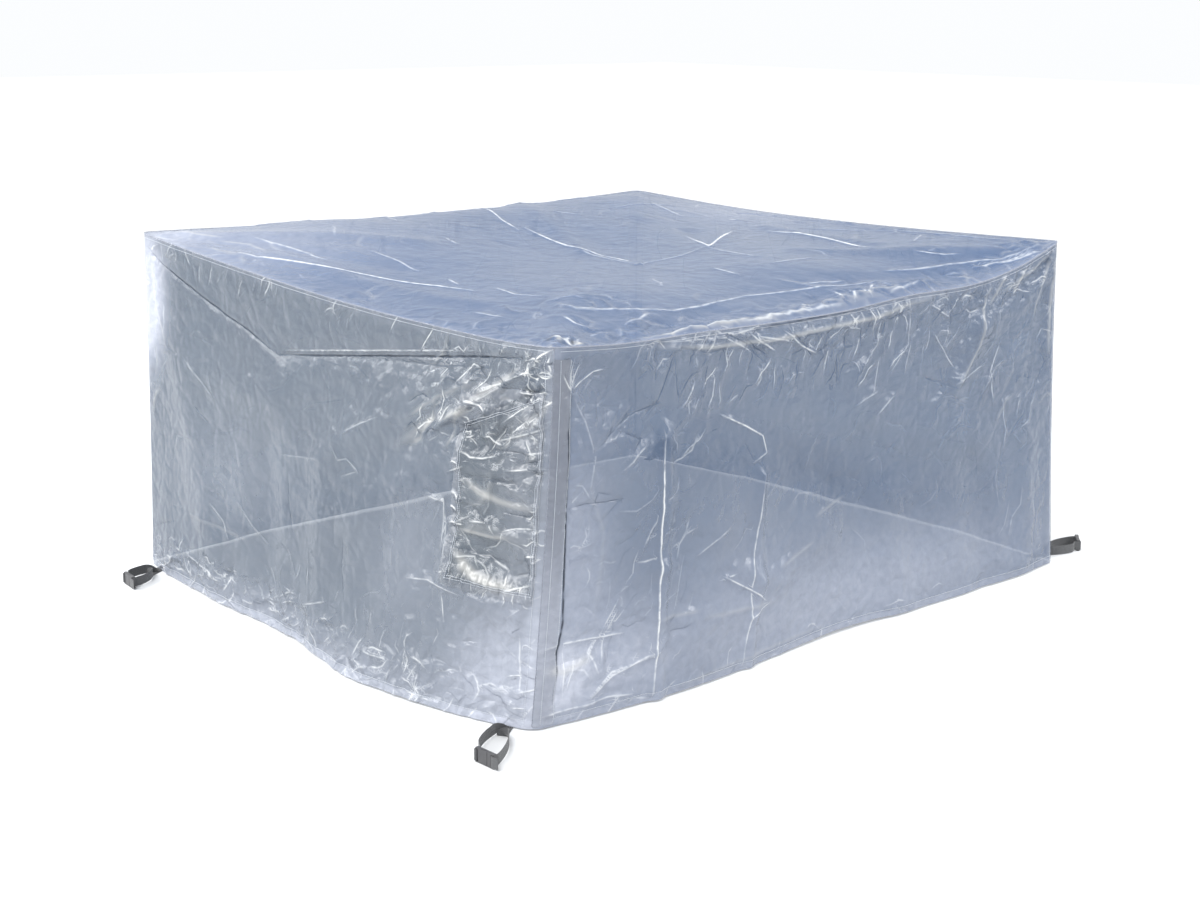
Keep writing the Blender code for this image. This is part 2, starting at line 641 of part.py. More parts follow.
def plug_mesh():
    """The buckle's plug: a block with a bar, and three prongs that reach into the socket."""
    half_long, half_thick, half_high = BUCKLE_LENGTH / 2, BUCKLE_THICKNESS / 2, BUCKLE_HEIGHT / 2
    face = -half_long + SOCKET_LENGTH + GAP
    slot = half_long - BAR - SLOT
    hollow_end = -half_long + BAR + SLOT + BRIDGE
    prong = HOLLOW_HALF - EASE
    top = half_high - RAIL - EASE
    proud = half_high + BUTTON_PROUD
    body = box((face, -half_thick, -half_high), (half_long, half_thick, half_high))
    cut = box((slot, -BUCKLE_THICKNESS, -SLOT_HEIGHT / 2), (slot + SLOT, BUCKLE_THICKNESS, SLOT_HEIGHT / 2))
    parts = [("DIFFERENCE", cut)]
    for low, high in ((-top, PRONG_HEIGHT - top), (-GUIDE_HEIGHT / 2, GUIDE_HEIGHT / 2), (top - PRONG_HEIGHT, top)):
        parts.append(("UNION", box((hollow_end + EASE + ROOT, -prong, low), (face + ROOT, prong, high))))
    start = hollow_end + WINDOW_START + 2 * EASE
    end = SOCKET_LENGTH - half_long - WINDOW_END - 2 * EASE
    for low, high in ((-proud, ROOT - top), (top - ROOT, proud)):
        parts.append(("UNION", box((start, EASE / 2 - prong, low), (end, prong - EASE / 2, high))))
    return combine("plug", body, parts, 0.0014)


def web_axes(ahead, turn):
    """The directions of a web's width and of its thickness."""
    ahead = Vector(ahead).normalized()
    level = Vector((-ahead.y, ahead.x, 0)).normalized()
    width = level * cos(turn) + ahead.cross(level) * sin(turn)
    return width, ahead.cross(width)


def web_mesh(name, stations):
    """A flat web swept through stations: each a point, the way ahead and the turn from level to upright."""
    tool = bmesh.new()
    rings = []
    for point, ahead, turn in stations:
        width, normal = web_axes(ahead, turn)
        ring = []
        for across, through_it in ((-1, -1), (1, -1), (1, 1), (-1, 1)):
            corner = width * (across * WEB_WIDTH / 2) + normal * (through_it * WEB_THICKNESS / 2)
            ring.append(tool.verts.new(Vector(point) + corner))
        rings.append(ring)
    for one, two in zip(rings, rings[1:]):
        for k in range(4):
            tool.faces.new((one[k], one[(k + 1) % 4], two[(k + 1) % 4], two[k]))
    tool.faces.new(rings[0])
    tool.faces.new(rings[-1])
    bmesh.ops.triangulate(tool, faces=tool.faces)
    bmesh.ops.recalc_face_normals(tool, faces=tool.faces)
    mesh = bpy.data.meshes.new(name)
    tool.to_mesh(mesh)
    tool.free()
    mesh.shade_smooth()
    mesh.set_sharp_from_angle(angle=radians(40))
    return mesh


def web_stations(reach, start, loop, wrap):
    """One web of a strap, in its own frame: X out from the hem, Y along it, Z up."""
    points = [np.array([row.out, row.aside, row.height]) for row in start]
    turns = [radians(row.turn) for row in start]
    buckle_middle = BUCKLE_HEIGHT / 2
    last = start[-1]
    for row in loop:
        out = last.out + (reach - last.out) * row.share
        points.append(np.array([out, row.aside, last.height + (buckle_middle - last.height) * row.share]))
    for row in wrap:
        out = reach + row.along * sin(BUCKLE_YAW) + row.beyond * cos(BUCKLE_YAW)
        aside = row.along * cos(BUCKLE_YAW) - row.beyond * sin(BUCKLE_YAW)
        points.append(np.array([out, aside, buckle_middle]))
    ahead = np.gradient(np.array(points), axis=0)
    ahead[: len(start)] = (1, 0, 0)  # straight out while it turns
    turns += turns[-1:] * (len(points) - len(turns))
    return list(zip(points, ahead, turns))


def strap_frame(strap):
    """The strap's own frame: on the ground under the hem, X outwards and turned along the wall."""
    share = np.array([(strap.at - CORNER_INSET) / (WIDTH - 2 * CORNER_INSET)])
    point = edge_points(strap.side, share, "hem")[0]
    outward, along = directions(strap.side)
    turn = radians(strap.turn)
    out = Vector(outward * cos(turn) + along * sin(turn))
    aside = Vector((0, 0, 1)).cross(out)
    frame = Matrix((out, aside, (0, 0, 1))).transposed().to_4x4()
    return Matrix.Translation((point[0], point[1], 0)) @ frame


def make_straps():
    socket, plug = socket_mesh(), plug_mesh()
    for strap in STRAPS:
        frame = strap_frame(strap)
        upper = web_stations(strap.reach, SOCKET_START, SOCKET_LOOP, SOCKET_WRAP)
        lower = web_stations(strap.reach, PLUG_START, PLUG_LOOP, PLUG_WRAP)
        for name, stations in ((strap.name + "_web_socket", upper), (strap.name + "_web_plug", lower)):
            place(name, web_mesh(name, stations), WEB_GREY, 0.8, frame)
        at = Matrix.Translation((strap.reach, 0, BUCKLE_HEIGHT / 2))
        along = Matrix.Rotation(pi / 2 - BUCKLE_YAW, 4, "Z")
        for name, mesh in ((strap.name + "_socket", socket), (strap.name + "_plug", plug)):
            place(name, mesh, BUCKLE_GREY, 0.4, frame @ at @ along)


clear_scene()
make_panels()
make_straps()
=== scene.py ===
# %% [markdown]
# # A patio furniture cover of clear film
# The real cover is cut from thin blue-grey film with a fine net of threads inside: one top, four walls, a
# rectangle and a band sewn on at the near corner, and four webbing straps with buckles. It hangs over
# furniture and its hem rests on the ground. The CAD model already has every panel in its place. This lesson
# dresses it: finer folds, stitches, webbing and finishes. It begins by loading the solids as a fixed frame.

# %% Load the solids
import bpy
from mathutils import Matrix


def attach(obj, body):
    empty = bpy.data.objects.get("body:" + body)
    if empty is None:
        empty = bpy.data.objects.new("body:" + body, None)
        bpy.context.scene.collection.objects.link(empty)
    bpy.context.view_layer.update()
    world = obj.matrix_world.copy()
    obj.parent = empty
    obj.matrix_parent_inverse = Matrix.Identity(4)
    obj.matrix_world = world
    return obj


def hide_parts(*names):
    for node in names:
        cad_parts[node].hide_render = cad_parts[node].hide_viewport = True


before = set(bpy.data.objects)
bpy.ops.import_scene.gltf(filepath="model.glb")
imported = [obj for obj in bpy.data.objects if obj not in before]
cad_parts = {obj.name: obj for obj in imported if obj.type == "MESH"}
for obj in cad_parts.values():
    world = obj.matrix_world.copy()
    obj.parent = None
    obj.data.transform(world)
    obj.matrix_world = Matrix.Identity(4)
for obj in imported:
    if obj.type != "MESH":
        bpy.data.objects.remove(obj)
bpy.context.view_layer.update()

# %% Tools
from collections import namedtuple
from functools import partial
from math import cos, pi, radians, sin, sqrt

import bmesh
import bpy
import numpy as np
from mathutils import Matrix, Vector, noise


def rows(kind, text, unit=1000):
    """Read a table, in thousandths unless told: rows end at a semicolon or a line's end, and notes follow a #."""
    parts = ";".join(line.split("#")[0] for line in text.splitlines()).split(";")
    return [kind(*(float(word) / unit for word in part.split())) for part in parts if part.strip()]


# %% [markdown]
# ## Sizes
# The film sheets have to lie where the solids are, so the same driving sizes are written here again. Heights
# are above the ground, and everything is lowered by MOUNT_HEIGHT at the end, because the model's origin is
# under the middle of the top.

# %% Driving sizes, in metres
LENGTH = 1.85
WIDTH = 1.65
MOUNT_HEIGHT = 0.876
GAP = 0.0003
HEM_HEIGHT = 0.0038
CORNER_RADIUS = 0.03
CORNER_INSET = CORNER_RADIUS * (1 - sqrt(0.5))
RIM_SHIFT = GAP / sqrt(2)
SEAM_SHIFT = GAP / 2
FADE = 0.05  # how close to a seam the folds fade out
UP = np.array([0.0, 0.0, 1.0])

# %% Corners in metres, then rims and hems in thousandths of a side's length and in millimetres
Corner = namedtuple("Corner", "rim_x rim_y rim_height hem_x hem_y")
LEFT = Corner(-0.920, 0.825, 0.912, -0.945, 0.815)
NEAR = Corner(-0.905, -0.828, 0.826, -0.974, -0.838)
RIGHT = Corner(0.925, -0.825, 0.903, 0.955, -0.850)
FAR = Corner(0.925, 0.825, 0.911, 0.945, 0.840)

Rim = namedtuple("Rim", "at height inset")
Hem = namedtuple("Hem", "at out lift")
END_NEAR_RIM = rows(Rim, "0 912 0; 120 890 4; 340 855 12; 520 831 20; 770 817 18; 910 818 8; 1000 826 0")
SIDE_NEAR_RIM = rows(Rim, """
0 826 0; 100 812 6; 250 807 14; 390 801 20; 540 802 22; 650 814 20; 820 823 10; 910 852 4; 1000 903 0""")
END_FAR_RIM = rows(Rim, "0 903 0; 300 892 8; 500 889 10; 700 892 8; 1000 911 0")
SIDE_FAR_RIM = rows(Rim, "0 911 0; 250 897 8; 500 893 6; 750 900 8; 920 909 3; 1000 912 0")
END_NEAR_HEM = rows(Hem, """
0 0 0; 50 16 0; 240 44 3; 400 52 1; 500 58 4; 600 88 2; 680 112 1; 760 100 3; 910 52 0; 1000 0 0""")
SIDE_NEAR_HEM = rows(Hem, "0 0 0; 90 24 1; 245 40 2; 360 24 0; 520 2 6; 700 16 1; 860 22 2; 1000 0 0")
END_FAR_HEM = rows(Hem, "0 0 0; 220 40 2; 500 52 4; 800 36 1; 1000 0 0")
SIDE_FAR_HEM = rows(Hem, "0 0 0; 220 30 1; 450 18 5; 750 36 2; 1000 0 0")

# How far a wall's grid lines lean sideways by the hem, so that they follow its leaning folds.
Lean = namedtuple("Lean", "at shift")
UPRIGHT = rows(Lean, "0 0; 1000 0")
SIDE_NEAR_LEAN = rows(Lean, "0 0; 190 -24; 380 -84; 650 0; 1000 0")

# %% [markdown]
# ## Main folds
# Each wall hangs in a few large folds, which the solids have too. A fold is a straight ridge or trough between
# two points: millimetres along the wall from its first corner, and height.

# %% Folds of the walls
Fold = namedtuple("Fold", "at height to_at to_height width rise")
END_NEAR_FOLDS = rows(Fold, """
60 860 360 765 30 -4  # the long crease down from the left corner
360 765 660 675 30 -5
660 675 1050 720 30 -6  # and on towards the near corner
1050 720 1440 775 30 -5
900 500 1300 690 55 13  # broad diagonals drawn up to the near corner
1000 330 1340 560 50 10
200 600 620 560 60 10
220 520 400 80 70 12  # soft columns down to the hem
600 420 660 60 60 -12
860 430 920 60 60 13
1140 380 1120 60 55 -10
1380 545 1600 525 30 9  # across the sewn-on patch
1380 400 1600 345 35 -9
1380 290 1600 230 35 8""")
SIDE_NEAR_FOLDS = rows(Fold, """
342 600 330 300 20 11  # the first upright ridge, down to the hem
330 300 316 0 20 11
668 450 642 200 20 10  # the second, which leans
642 200 616 0 20 10
560 250 740 180 30 9  # the star that crosses it
60 760 300 640 45 -10  # drawn down from the near corner
80 600 520 360 60 10
40 165 220 160 30 -8
420 120 900 260 60 10  # broad soft diagonals lower down
800 420 1250 200 70 -12
1000 560 1500 420 70 10
1140 300 1180 40 60 12
1480 340 1520 40 60 -11
1720 400 1700 50 50 10
680 776 1200 796 25 12  # the roll just under the rim
1800 850 1640 770 30 -11  # a fan from the right corner
1800 820 1520 700 35 11
1520 700 1410 560 35 10
1810 780 1760 560 35 -8""")
END_FAR_FOLDS = rows(Fold, "300 650 340 50 80 14; 760 560 800 50 80 -12; 1220 620 1180 50 80 14")
SIDE_FAR_FOLDS = rows(Fold, "340 620 380 50 80 -12; 860 600 820 50 80 14; 1400 640 1450 50 80 13")

# %% Swells and creases of the top
CROWN = 0.058  # how far the middle stands above a sheet stretched between the four rims
Swell = namedtuple("Swell", "x y radius rise")
TOP_SWELLS = rows(Swell, """
-450 620 200 12; 80 600 180 10; 600 600 200 10; -400 -500 200 10; 150 -520 190 14; 680 -560 180 14; -620 20 260 -14
600 50 260 -12; -100 100 240 -8""")
Crease = namedtuple("Crease", "x y to_x to_y width rise")
TOP_CREASES = rows(Crease, """
-860 760 -400 300 50 7  # fans of tension from the held corners
-860 700 -600 100 45 -6
860 -760 400 -360 50 8
800 -770 200 -660 45 -7
860 760 420 300 50 7
-780 400 -710 -340 40 6
350 800 -60 0 40 6
420 80 290 -120 40 -6
550 40 290 -120 40 6
690 20 620 -420 40 6
-840 -760 -550 -500 60 10  # the slack near corner
-700 -780 -300 -700 40 -8
-100 -775 420 -765 30 10  # the upper roll along the rim""")

# %% The four sides
Side = namedtuple("Side", "name first last outward rim hem folds lean")
END_NEAR = Side("end_wall_near", LEFT, NEAR, (-1, 0), END_NEAR_RIM, END_NEAR_HEM, END_NEAR_FOLDS, UPRIGHT)
SIDE_NEAR = Side(
    "side_wall_near", NEAR, RIGHT, (0, -1), SIDE_NEAR_RIM, SIDE_NEAR_HEM, SIDE_NEAR_FOLDS, SIDE_NEAR_LEAN
)
END_FAR = Side("end_wall_far", RIGHT, FAR, (1, 0), END_FAR_RIM, END_FAR_HEM, END_FAR_FOLDS, UPRIGHT)
SIDE_FAR = Side("side_wall_far", FAR, LEFT, (0, 1), SIDE_FAR_RIM, SIDE_FAR_HEM, SIDE_FAR_FOLDS, UPRIGHT)
SIDES = (END_NEAR, SIDE_NEAR, END_FAR, SIDE_FAR)

# %% [markdown]
# ## The surfaces
# A smooth curve runs through each table, and a wall hangs from its rim curve to its hem curve. Folds are added
# outwards and fade at the seams. Formulas were chosen over a cloth simulation, because each fold then stays
# where the real one is.

# %% Curves
def between(values, slope, k, t, step=1):
    """A smooth curve's values at a share t of the way from station k to the next."""
    return (
        (2 * t**3 - 3 * t**2 + 1) * values[k]
        + (t**3 - 2 * t**2 + t) * step * slope[k]
        + (3 * t**2 - 2 * t**3) * values[k + 1]
        + (t**3 - t**2) * step * slope[k + 1]
    )


def through(table, column, at):
    """A smooth curve through one column of a table, read at shares along it."""
    x = np.array([row.at for row in table])
    y = np.array([getattr(row, column) for row in table])
    at = np.clip(at, 0, 1)
    k = np.clip(np.searchsorted(x, at, side="right") - 1, 0, len(x) - 2)
    step = x[k + 1] - x[k]
    return between(y, np.gradient(y, x), k, (at - x[k]) / step, step)


def hump(distance, reach):
    """1 at no distance, and dying away softly over this reach."""
    return np.exp(-((distance / reach) ** 2))


def smooth(share):
    share = np.clip(share, 0, 1)
    return share * share * (3 - 2 * share)


def beside(first, second, start, end):
    """Where points lie beside a line: the share along it, and the way off it in two parts."""
    run = np.subtract(end, start)
    share = np.clip(((first - start[0]) * run[0] + (second - start[1]) * run[1]) / (run @ run), 0, 1)
    return share, first - start[0] - share * run[0], second - start[1] - share * run[1]


def ridges(first, second, table):
    """The summed rise of a table's folds at each point of a panel, given by its two flat coordinates."""
    rise = np.zeros(np.shape(first))
    for row in table:
        _, x, y = beside(first, second, row[0:2], row[2:4])
        rise += row.rise * hump(np.hypot(x, y), row.width)
    return rise


# %% A side in plan, with rounded corners
def side_length(side):
    return LENGTH if side.outward[0] == 0 else WIDTH


def directions(side):
    outward = np.array([*side.outward, 0.0])
    return outward, np.cross(UP, outward)


def rounding(distance):
    """How far a rounded corner lies inside the wall's plane, this far from the sharp corner."""
    inside = np.clip(CORNER_RADIUS - distance, 0, CORNER_RADIUS)
    return CORNER_RADIUS - np.sqrt(CORNER_RADIUS**2 - inside**2)


def edge_points(side, share, which):
    """Points along a side's rim or hem."""
    outward, along = directions(side)
    if which == "hem":
        ends = [np.array([c.hem_x, c.hem_y, 0]) for c in (side.first, side.last)]
        out, height = through(side.hem, "out", share), HEM_HEIGHT + through(side.hem, "lift", share)
    else:
        ends = [np.array([c.rim_x, c.rim_y, 0]) for c in (side.first, side.last)]
        out, height = -through(side.rim, "inset", share), through(side.rim, "height", share)
    length = float(np.linalg.norm(ends[1] - ends[0]))
    first, last = ends[0] + along * CORNER_INSET, ends[1] - along * CORNER_INSET
    distance = CORNER_INSET + share * (length - 2 * CORNER_INSET)
    out = out - rounding(distance) - rounding(length - distance)
    flat = first + (last - first) * share[..., None] + outward * out[..., None]
    return flat + UP * height[..., None]


def plan_normals(side, share):
    """The way a side faces in plan, turning to the diagonal at its two corners."""
    outward, along = directions(side)
    length = side_length(side)
    distance = CORNER_INSET + share * (length - 2 * CORNER_INSET)
    before = np.clip(1 - distance / CORNER_RADIUS, 0, 1)
    after = np.clip(1 - (length - distance) / CORNER_RADIUS, 0, 1)
    turn = after - before
    return outward * np.sqrt(1 - turn**2)[..., None] + along * turn[..., None]


# %% The two kinds of surface
def wall_points(side, share, down):
    """A wall's middle surface: one row for each share of its height from the rim, one column along it."""
    length = side_length(side)
    share, down = np.meshgrid(share, down)
    share = share + through(side.lean, "shift", share) * down / length
    rim = edge_points(side, share, "rim")
    hem = edge_points(side, share, "hem")
    flare = down**1.4
    points = rim + (hem - rim) * flare[..., None]
    points[..., 2] = rim[..., 2] + (hem[..., 2] - rim[..., 2]) * down
    near_edge = np.minimum(share * length, (1 - share) * length)
    faded = smooth(near_edge / FADE) * smooth(down * points[..., 2].max() / FADE)
    rise = ridges(share * length, points[..., 2], side.folds) * faded
    return points + directions(side)[0] * rise[..., None]


def top_points(long_share, short_share):
    """The top's middle surface, between its four rims: rows from the near side to the far, columns along X."""
    near = edge_points(SIDE_NEAR, long_share, "rim")
    far = edge_points(SIDE_FAR, 1 - long_share, "rim")
    left = edge_points(END_NEAR, 1 - short_share, "rim")
    right = edge_points(END_FAR, short_share, "rim")
    u, v = (grid[..., None] for grid in np.meshgrid(long_share, short_share))
    corners = (1 - v) * ((1 - u) * near[0] + u * near[-1]) + v * ((1 - u) * far[0] + u * far[-1])
    sheet = (1 - v) * near + v * far + (1 - u) * left[:, None] + u * right[:, None] - corners
    plateau = ((1 - (2 * u - 1) ** 4) * (1 - (2 * v - 1) ** 4))[..., 0]
    x, y = sheet[..., 0], sheet[..., 1]
    rise = ridges(x, y, TOP_CREASES)
    for row in TOP_SWELLS:
        rise += row.rise * hump(np.hypot(x - row.x, y - row.y), row.radius)
    inside = np.minimum.reduce([u * LENGTH, (1 - u) * LENGTH, v * WIDTH, (1 - v) * WIDTH])[..., 0]
    sheet[..., 2] += CROWN * plateau + rise * smooth(inside / FADE)
    return sheet


def facing(points):
    """Unit normals of a grid of points, to the side from which its columns run left to right, rows down."""
    normals = np.cross(np.gradient(points, axis=0), np.gradient(points, axis=1))
    return normals / np.linalg.norm(normals, axis=-1, keepdims=True)


# %% [markdown]
# ## Fine creases, placed one by one
# Film keeps every sharp fold it was packed with. White stress lines run where it has been bent, and they are also
# painted highlights on the creases; the thin dark lines are painted shade in the creases. Each mark below is a
# narrow ridge or trough with its own tone, on the same flat coordinates as the folds, and a wide mark's tone is a
# soft roll of painted highlight or painted shade. They could be painted in a texture, but as shape they catch the
# light from every side. A row gives width and rise in millimetres, tone from -1, dark painted shade, to 1, white,
# and then its route in millimetres.

# %% Marks on the wall at the left
Mark = namedtuple("Mark", "width rise tone route")


def read_marks(text):
    made = []
    for line in text.split("\n"):
        width, rise, tone, *route = line.split()
        points = [tuple(int(n) / 1000 for n in pair.split(",")) for pair in route]
        made.append(Mark(float(width), float(rise), float(tone), points))
    return made


END_NEAR_MARKS = read_marks("""5 -3 -1.2  30,873 78,841 191,802 379,741 490,713 614,669
6 -3.5 -1.4  629,667 988,714 1393,770 1553,790
7 2 .45  650,682 990,728 1390,783
5 -2 -.6  912,698 1121,722 1252,731 1366,745
20 3 .45  12,880 20,760 30,620
9 2 .3  40,860 63,726 113,617
6 -1.5 -.25  67,615 86,622 189,611
8 1.5 .2  226,603 304,558 352,521
7 2.5 .4  1402,699 1491,727 1589,771
14 3 .25  1180,606 1280,667 1378,710
6 2 .4  1589,774 1618,747 1638,735
6 -2 -.4  274,486 312,463 340,450
6 -2 -.4  704,381 719,314 745,255
7 1.5 .15  501,271 581,220 636,192
9 1.5 .15  231,199 415,198 552,187
6 -1.5 -.4  41,116 114,143 175,160
5 2 .28  379,248 440,214 466,175
6 2 .22  936,530 1002,561 1068,587
6 2 .2  901,493 926,461 957,471 1002,448 944,427
6 -1.5 -.3  986,289 996,220 1030,157
6 2.5 .35  1273,446 1338,443 1348,363 1350,336
6 2 .45  1342,512 1391,531
6 2.5 .35  1259,259 1323,268 1379,261 1429,258
6 2 .4  1376,246 1391,201
6 2 .3  1303,438 1335,450 1356,375 1369,311
7 2 .2  592,63 661,61 719,88 806,94 851,74
7 2 .3  843,98 955,134
6 -2 -.4  931,98 1020,64
8 1.5 .1  670,428 861,449
7 2 .35  1133,69 1248,74
7 2 .35  252,92 439,63
6 1.5 .4  1319,23 1399,17
8 3 .3  1332,629 1428,687 1590,774
20 4 .35  1290,600 1428,695 1580,782
34 -5 -.3  1370,595 1470,665 1620,735
26 -4 -.25  1400,560 1520,605 1630,640
30 4 .2  1150,540 1270,610 1370,660
6 -2 -.5  1568,709 1619,734 1646,731
6 2 .35  1611,199 1616,131 1624,75""")

# %% Marks on the rectangle at the near corner, which the wall behind it shares
PATCH_MARKS = read_marks("""18 5 .45  1400,502 1450,486 1530,478 1620,478
28 6 .65  1405,350 1432,320 1470,306 1530,298 1600,298
34 6 .1  1400,410 1500,415 1610,400
30 -5 -.15  1400,450 1500,440 1610,435
5 2.5 .6  1513,650 1562,681 1620,715 1645,712
5 2 .5  1558,638 1590,655 1614,673
6 2 .4  1485,600 1534,617 1600,639 1640,656
6 -2.5 -.7  1463,579 1504,586 1555,590 1579,591
6 2.5 .6  1383,564 1414,555 1454,559 1492,570
6 2 .45  1533,547 1579,555 1622,568 1643,567
7 -2.5 -.5  1530,456 1562,456 1593,459 1623,463
9 2.5 .4  1402,395 1450,396 1502,398 1551,403
7 -2.5 -.5  1441,444 1468,432 1494,420
6 -2.5 -.6  1578,327 1617,339
6 2 .6  1567,293 1628,316
6 2 .5  1585,617 1608,593
8 -2.5 -.4  1374,633 1453,583
9 -3 -.6  1400,355 1470,350 1560,345
9 -3 -.5  1395,510 1480,520 1600,520""")

# %% Marks on the wall at the right
SIDE_NEAR_MARKS = read_marks("""6 5 .8  329,594 318,487 317,320 311,161 299,20
6 4 .45  671,449 656,373 619,226 610,191 617,122 589,18
6 3 .55  530,236 610,191 670,152
6 3 .45  617,122 682,142
7 3 .65  526,610 607,574 670,541 684,499 643,485
6 -2 -.4  611,529 643,485
6 -2 -.5  364,773 315,665 286,646
6 -2 -.5  115,591 173,625 228,649 323,664
6 -2 -.5  206,620 262,595 243,576
6 -2 -.4  191,633 238,664
7 2 .35  165,201 197,246
8 2.5 .45  138,49 190,85 311,112
7 2 .35  122,131 160,190
8 2 .3  447,306 543,347
7 2 .4  559,237 522,232
9 2 .25  730,219 850,256
9 2 .25  871,312 989,340
12 2.5 .2  456,159 711,141
9 2 .2  368,20 531,27 891,35
10 2 .25  316,183 443,179
7 2 .35  113,32 178,40 246,31
6 -2 -.4  170,487 133,499 116,457
8 2 .3  1080,586 1105,671
8 2 .3  796,763 862,718
7 2 .35  330,800 533,787 668,724
7 -2 -.4  347,792 482,758 568,765
6 -1.5 -.3  364,773 382,651
8 -4 -1.3  52,726 40,640 48,475 50,356 55,230 40,60
8 2 .2  47,727 85,661 113,579 107,517
12 2 .1  107,517 153,406 149,338 133,226
6 2.5 .5  47,727 20,764
6 2.5 .5  47,727 53,790
6 2.5 .5  47,727 74,784
6 2.5 .55  47,727 115,762 143,764
6 -2.5 -.5  52,475 97,479 156,474 199,473 158,439
7 3 .45  17,180 65,181 133,178 219,172
22 3 .4  20,130 59,120 134,138
6 2 .4  60,170 61,68
6 2 .4  87,142 71,78
7 2 .4  135,52 188,93 301,104
7 2 .35  16,31 84,34 143,33
7 2 .35  173,188 197,225
7 3 .5  473,810 563,791 656,800 847,803
7 -2.5 -.5  518,804 610,763 670,717
7 2.5 .4  586,789 772,752 850,719
8 -4 -.8  644,792 823,796 983,798 1123,811 1278,821 1549,818
7 3 .6  620,785 660,760 705,738
7 -3 -.55  600,780 640,752 680,730
7 3 .6  740,778 795,742 860,712
7 -3 -.55  762,775 820,735 850,705
7 3 .55  1060,800 1075,770 1070,740
12 5 .52  321,790 485,770 695,764 865,768 1091,776 1196,794 1306,800
7 2.5 .35  1103,781 1095,706 1031,648
7 2.5 .35  1225,784 1217,693 1153,633
7 2 .3  1205,627 1230,700
7 2 .3  1017,569 1097,591
7 2 .3  1093,534 1162,574
9 3 .45  1618,834 1548,762
9 3 .45  1704,844 1646,778
10 3.5 .45  1549,805 1520,748 1494,656 1412,560
8 2.5 .35  1322,707 1399,613
8 -2.5 -.3  1283,600 1404,561
8 2.5 .35  1596,660 1554,585 1567,503
8 2 .3  1684,496 1668,454
8 2 .3  1404,570 1526,606
8 2.5 .4  1307,784 1388,742
12 3 .45  1835,880 1825,760 1815,600
10 3 .35  1825,870 1770,800 1740,700
10 3 .35  1820,880 1720,830 1600,790""")

# %% Marks on the top, in plan
TOP_MARKS = read_marks("""9 4 .5  -640,-800 -440,-795 -290,-783 -250,-770 -190,-784
9 4 .5  -190,-784 -130,-774 -87,-786 -50,-766 -2,-775
9 4 .5  -2,-775 30,-760 72,-776 100,-756 124,-777
9 4 .5  124,-777 150,-763 188,-772 220,-752 255,-764 321,-770
22 3 .26  -400,-797 -280,-788 -150,-788
18 3 .22  0,-784 150,-781 310,-776
7 2 .8  100,-756 112,-738 118,-718
7 2 .8  124,-777 150,-750 165,-728
7 2 .7  188,-772 205,-738
7 2 .7  220,-752 240,-730 270,-712
7 2 .6  -50,-766 -30,-742
7 2 .95  -844,459 -771,238 -702,81 -643,-109 -628,-230
6 2 .75  150,693 25,452 -18,327
6 2 .85  14,336 -49,84 -59,-46 -67,-231
6 1.5 .45  -565,268 -560,160 -574,60
6 1.5 .55  -579,-67 -601,-133
6 1.5 .55  -575,-241 -598,-342 -579,-404
7 1.5 .5  -615,-525 -614,-570 -445,-665
6 1.5 .5  -770,-405 -762,-489
6 1.5 .45  -293,307 -313,226
6 1.5 .45  -706,348 -700,282
9 2 .4  -867,581 -836,425
9 2.5 .45  -862,800 -787,629
9 2 .4  -804,618 -767,533 -772,416
8 2 .35  -729,558 -699,343
7 1.5 .4  -192,714 -257,563
8 3 .7  -880,-770 -835,-785 -790,-800
6 1.5 .5  259,487 293,407
6 2 .35  -21,147 -75,-20 -83,-219 92,-201 221,-161 252,-156
7 2 1  337,16 252,-156 516,6
6 1.5 .55  233,-174 219,-358
7 2 .95  628,-33 643,-135 618,-255 551,-477
6 1.5 .5  641,477 582,273
6 1.5 .45  683,177 702,168
6 1.5 .55  27,-385 13,-486
6 1.5 .45  713,-490 824,-433
6 1.5 .5  609,-584 624,-611 651,-646 683,-665
8 2 .3  733,-56 853,-351 885,-734
8 2 .45  -616,-522 -619,-582 -405,-675 -293,-662 -118,-637 25,-659 354,-705
8 2 .4  423,-650 610,-689 880,-790
8 2.5 .45  -290,-790 -69,-780 60,-785
7 2 .4  94,-642 218,-655
7 2 .4  403,-644 561,-683
8 2.5 .45  -580,-704 -480,-676
8 3 .6  -847,-782 -792,-784
8 2.5 .45  728,-763 852,-810
8 2.5 .45  660,-738 838,-789
7 2 .4  264,-778 383,-768
6 1.5 .3  452,454 684,432
6 1.5 .5  171,-460 318,-467
7 2.5 .6  -683,-608 -699,-668 -691,-692
7 2 .5  -541,-800 -452,-790 -276,-777""")

# %% [markdown]
# ## Crumples, scattered by rule
# Between the placed marks the film is covered with short creases: many along the hem and the rim and at the
# near corner, few elsewhere. They follow a rule, so a seeded random draw places them, zone by zone. A white
# crumple's tone is partly a painted highlight, and a dark one's is painted shade. A row gives the count, then
# the zone's low and high corners in metres along the wall and shares of its height down from the rim, the least
# and greatest length in metres, width and rise in millimetres, the tone, and the heading and its spread in
# degrees from level.

# %% Crumple zones
Zone = namedtuple("Zone", "count low high length width rise tone heading spread")


def read_zones(text):
    made = []
    for line in text.split("\n"):
        count, *n = (float(word) for word in line.split())
        made.append(Zone(int(count), *zip(n[0:10:2], n[1:10:2]), *n[10:]))
    return made


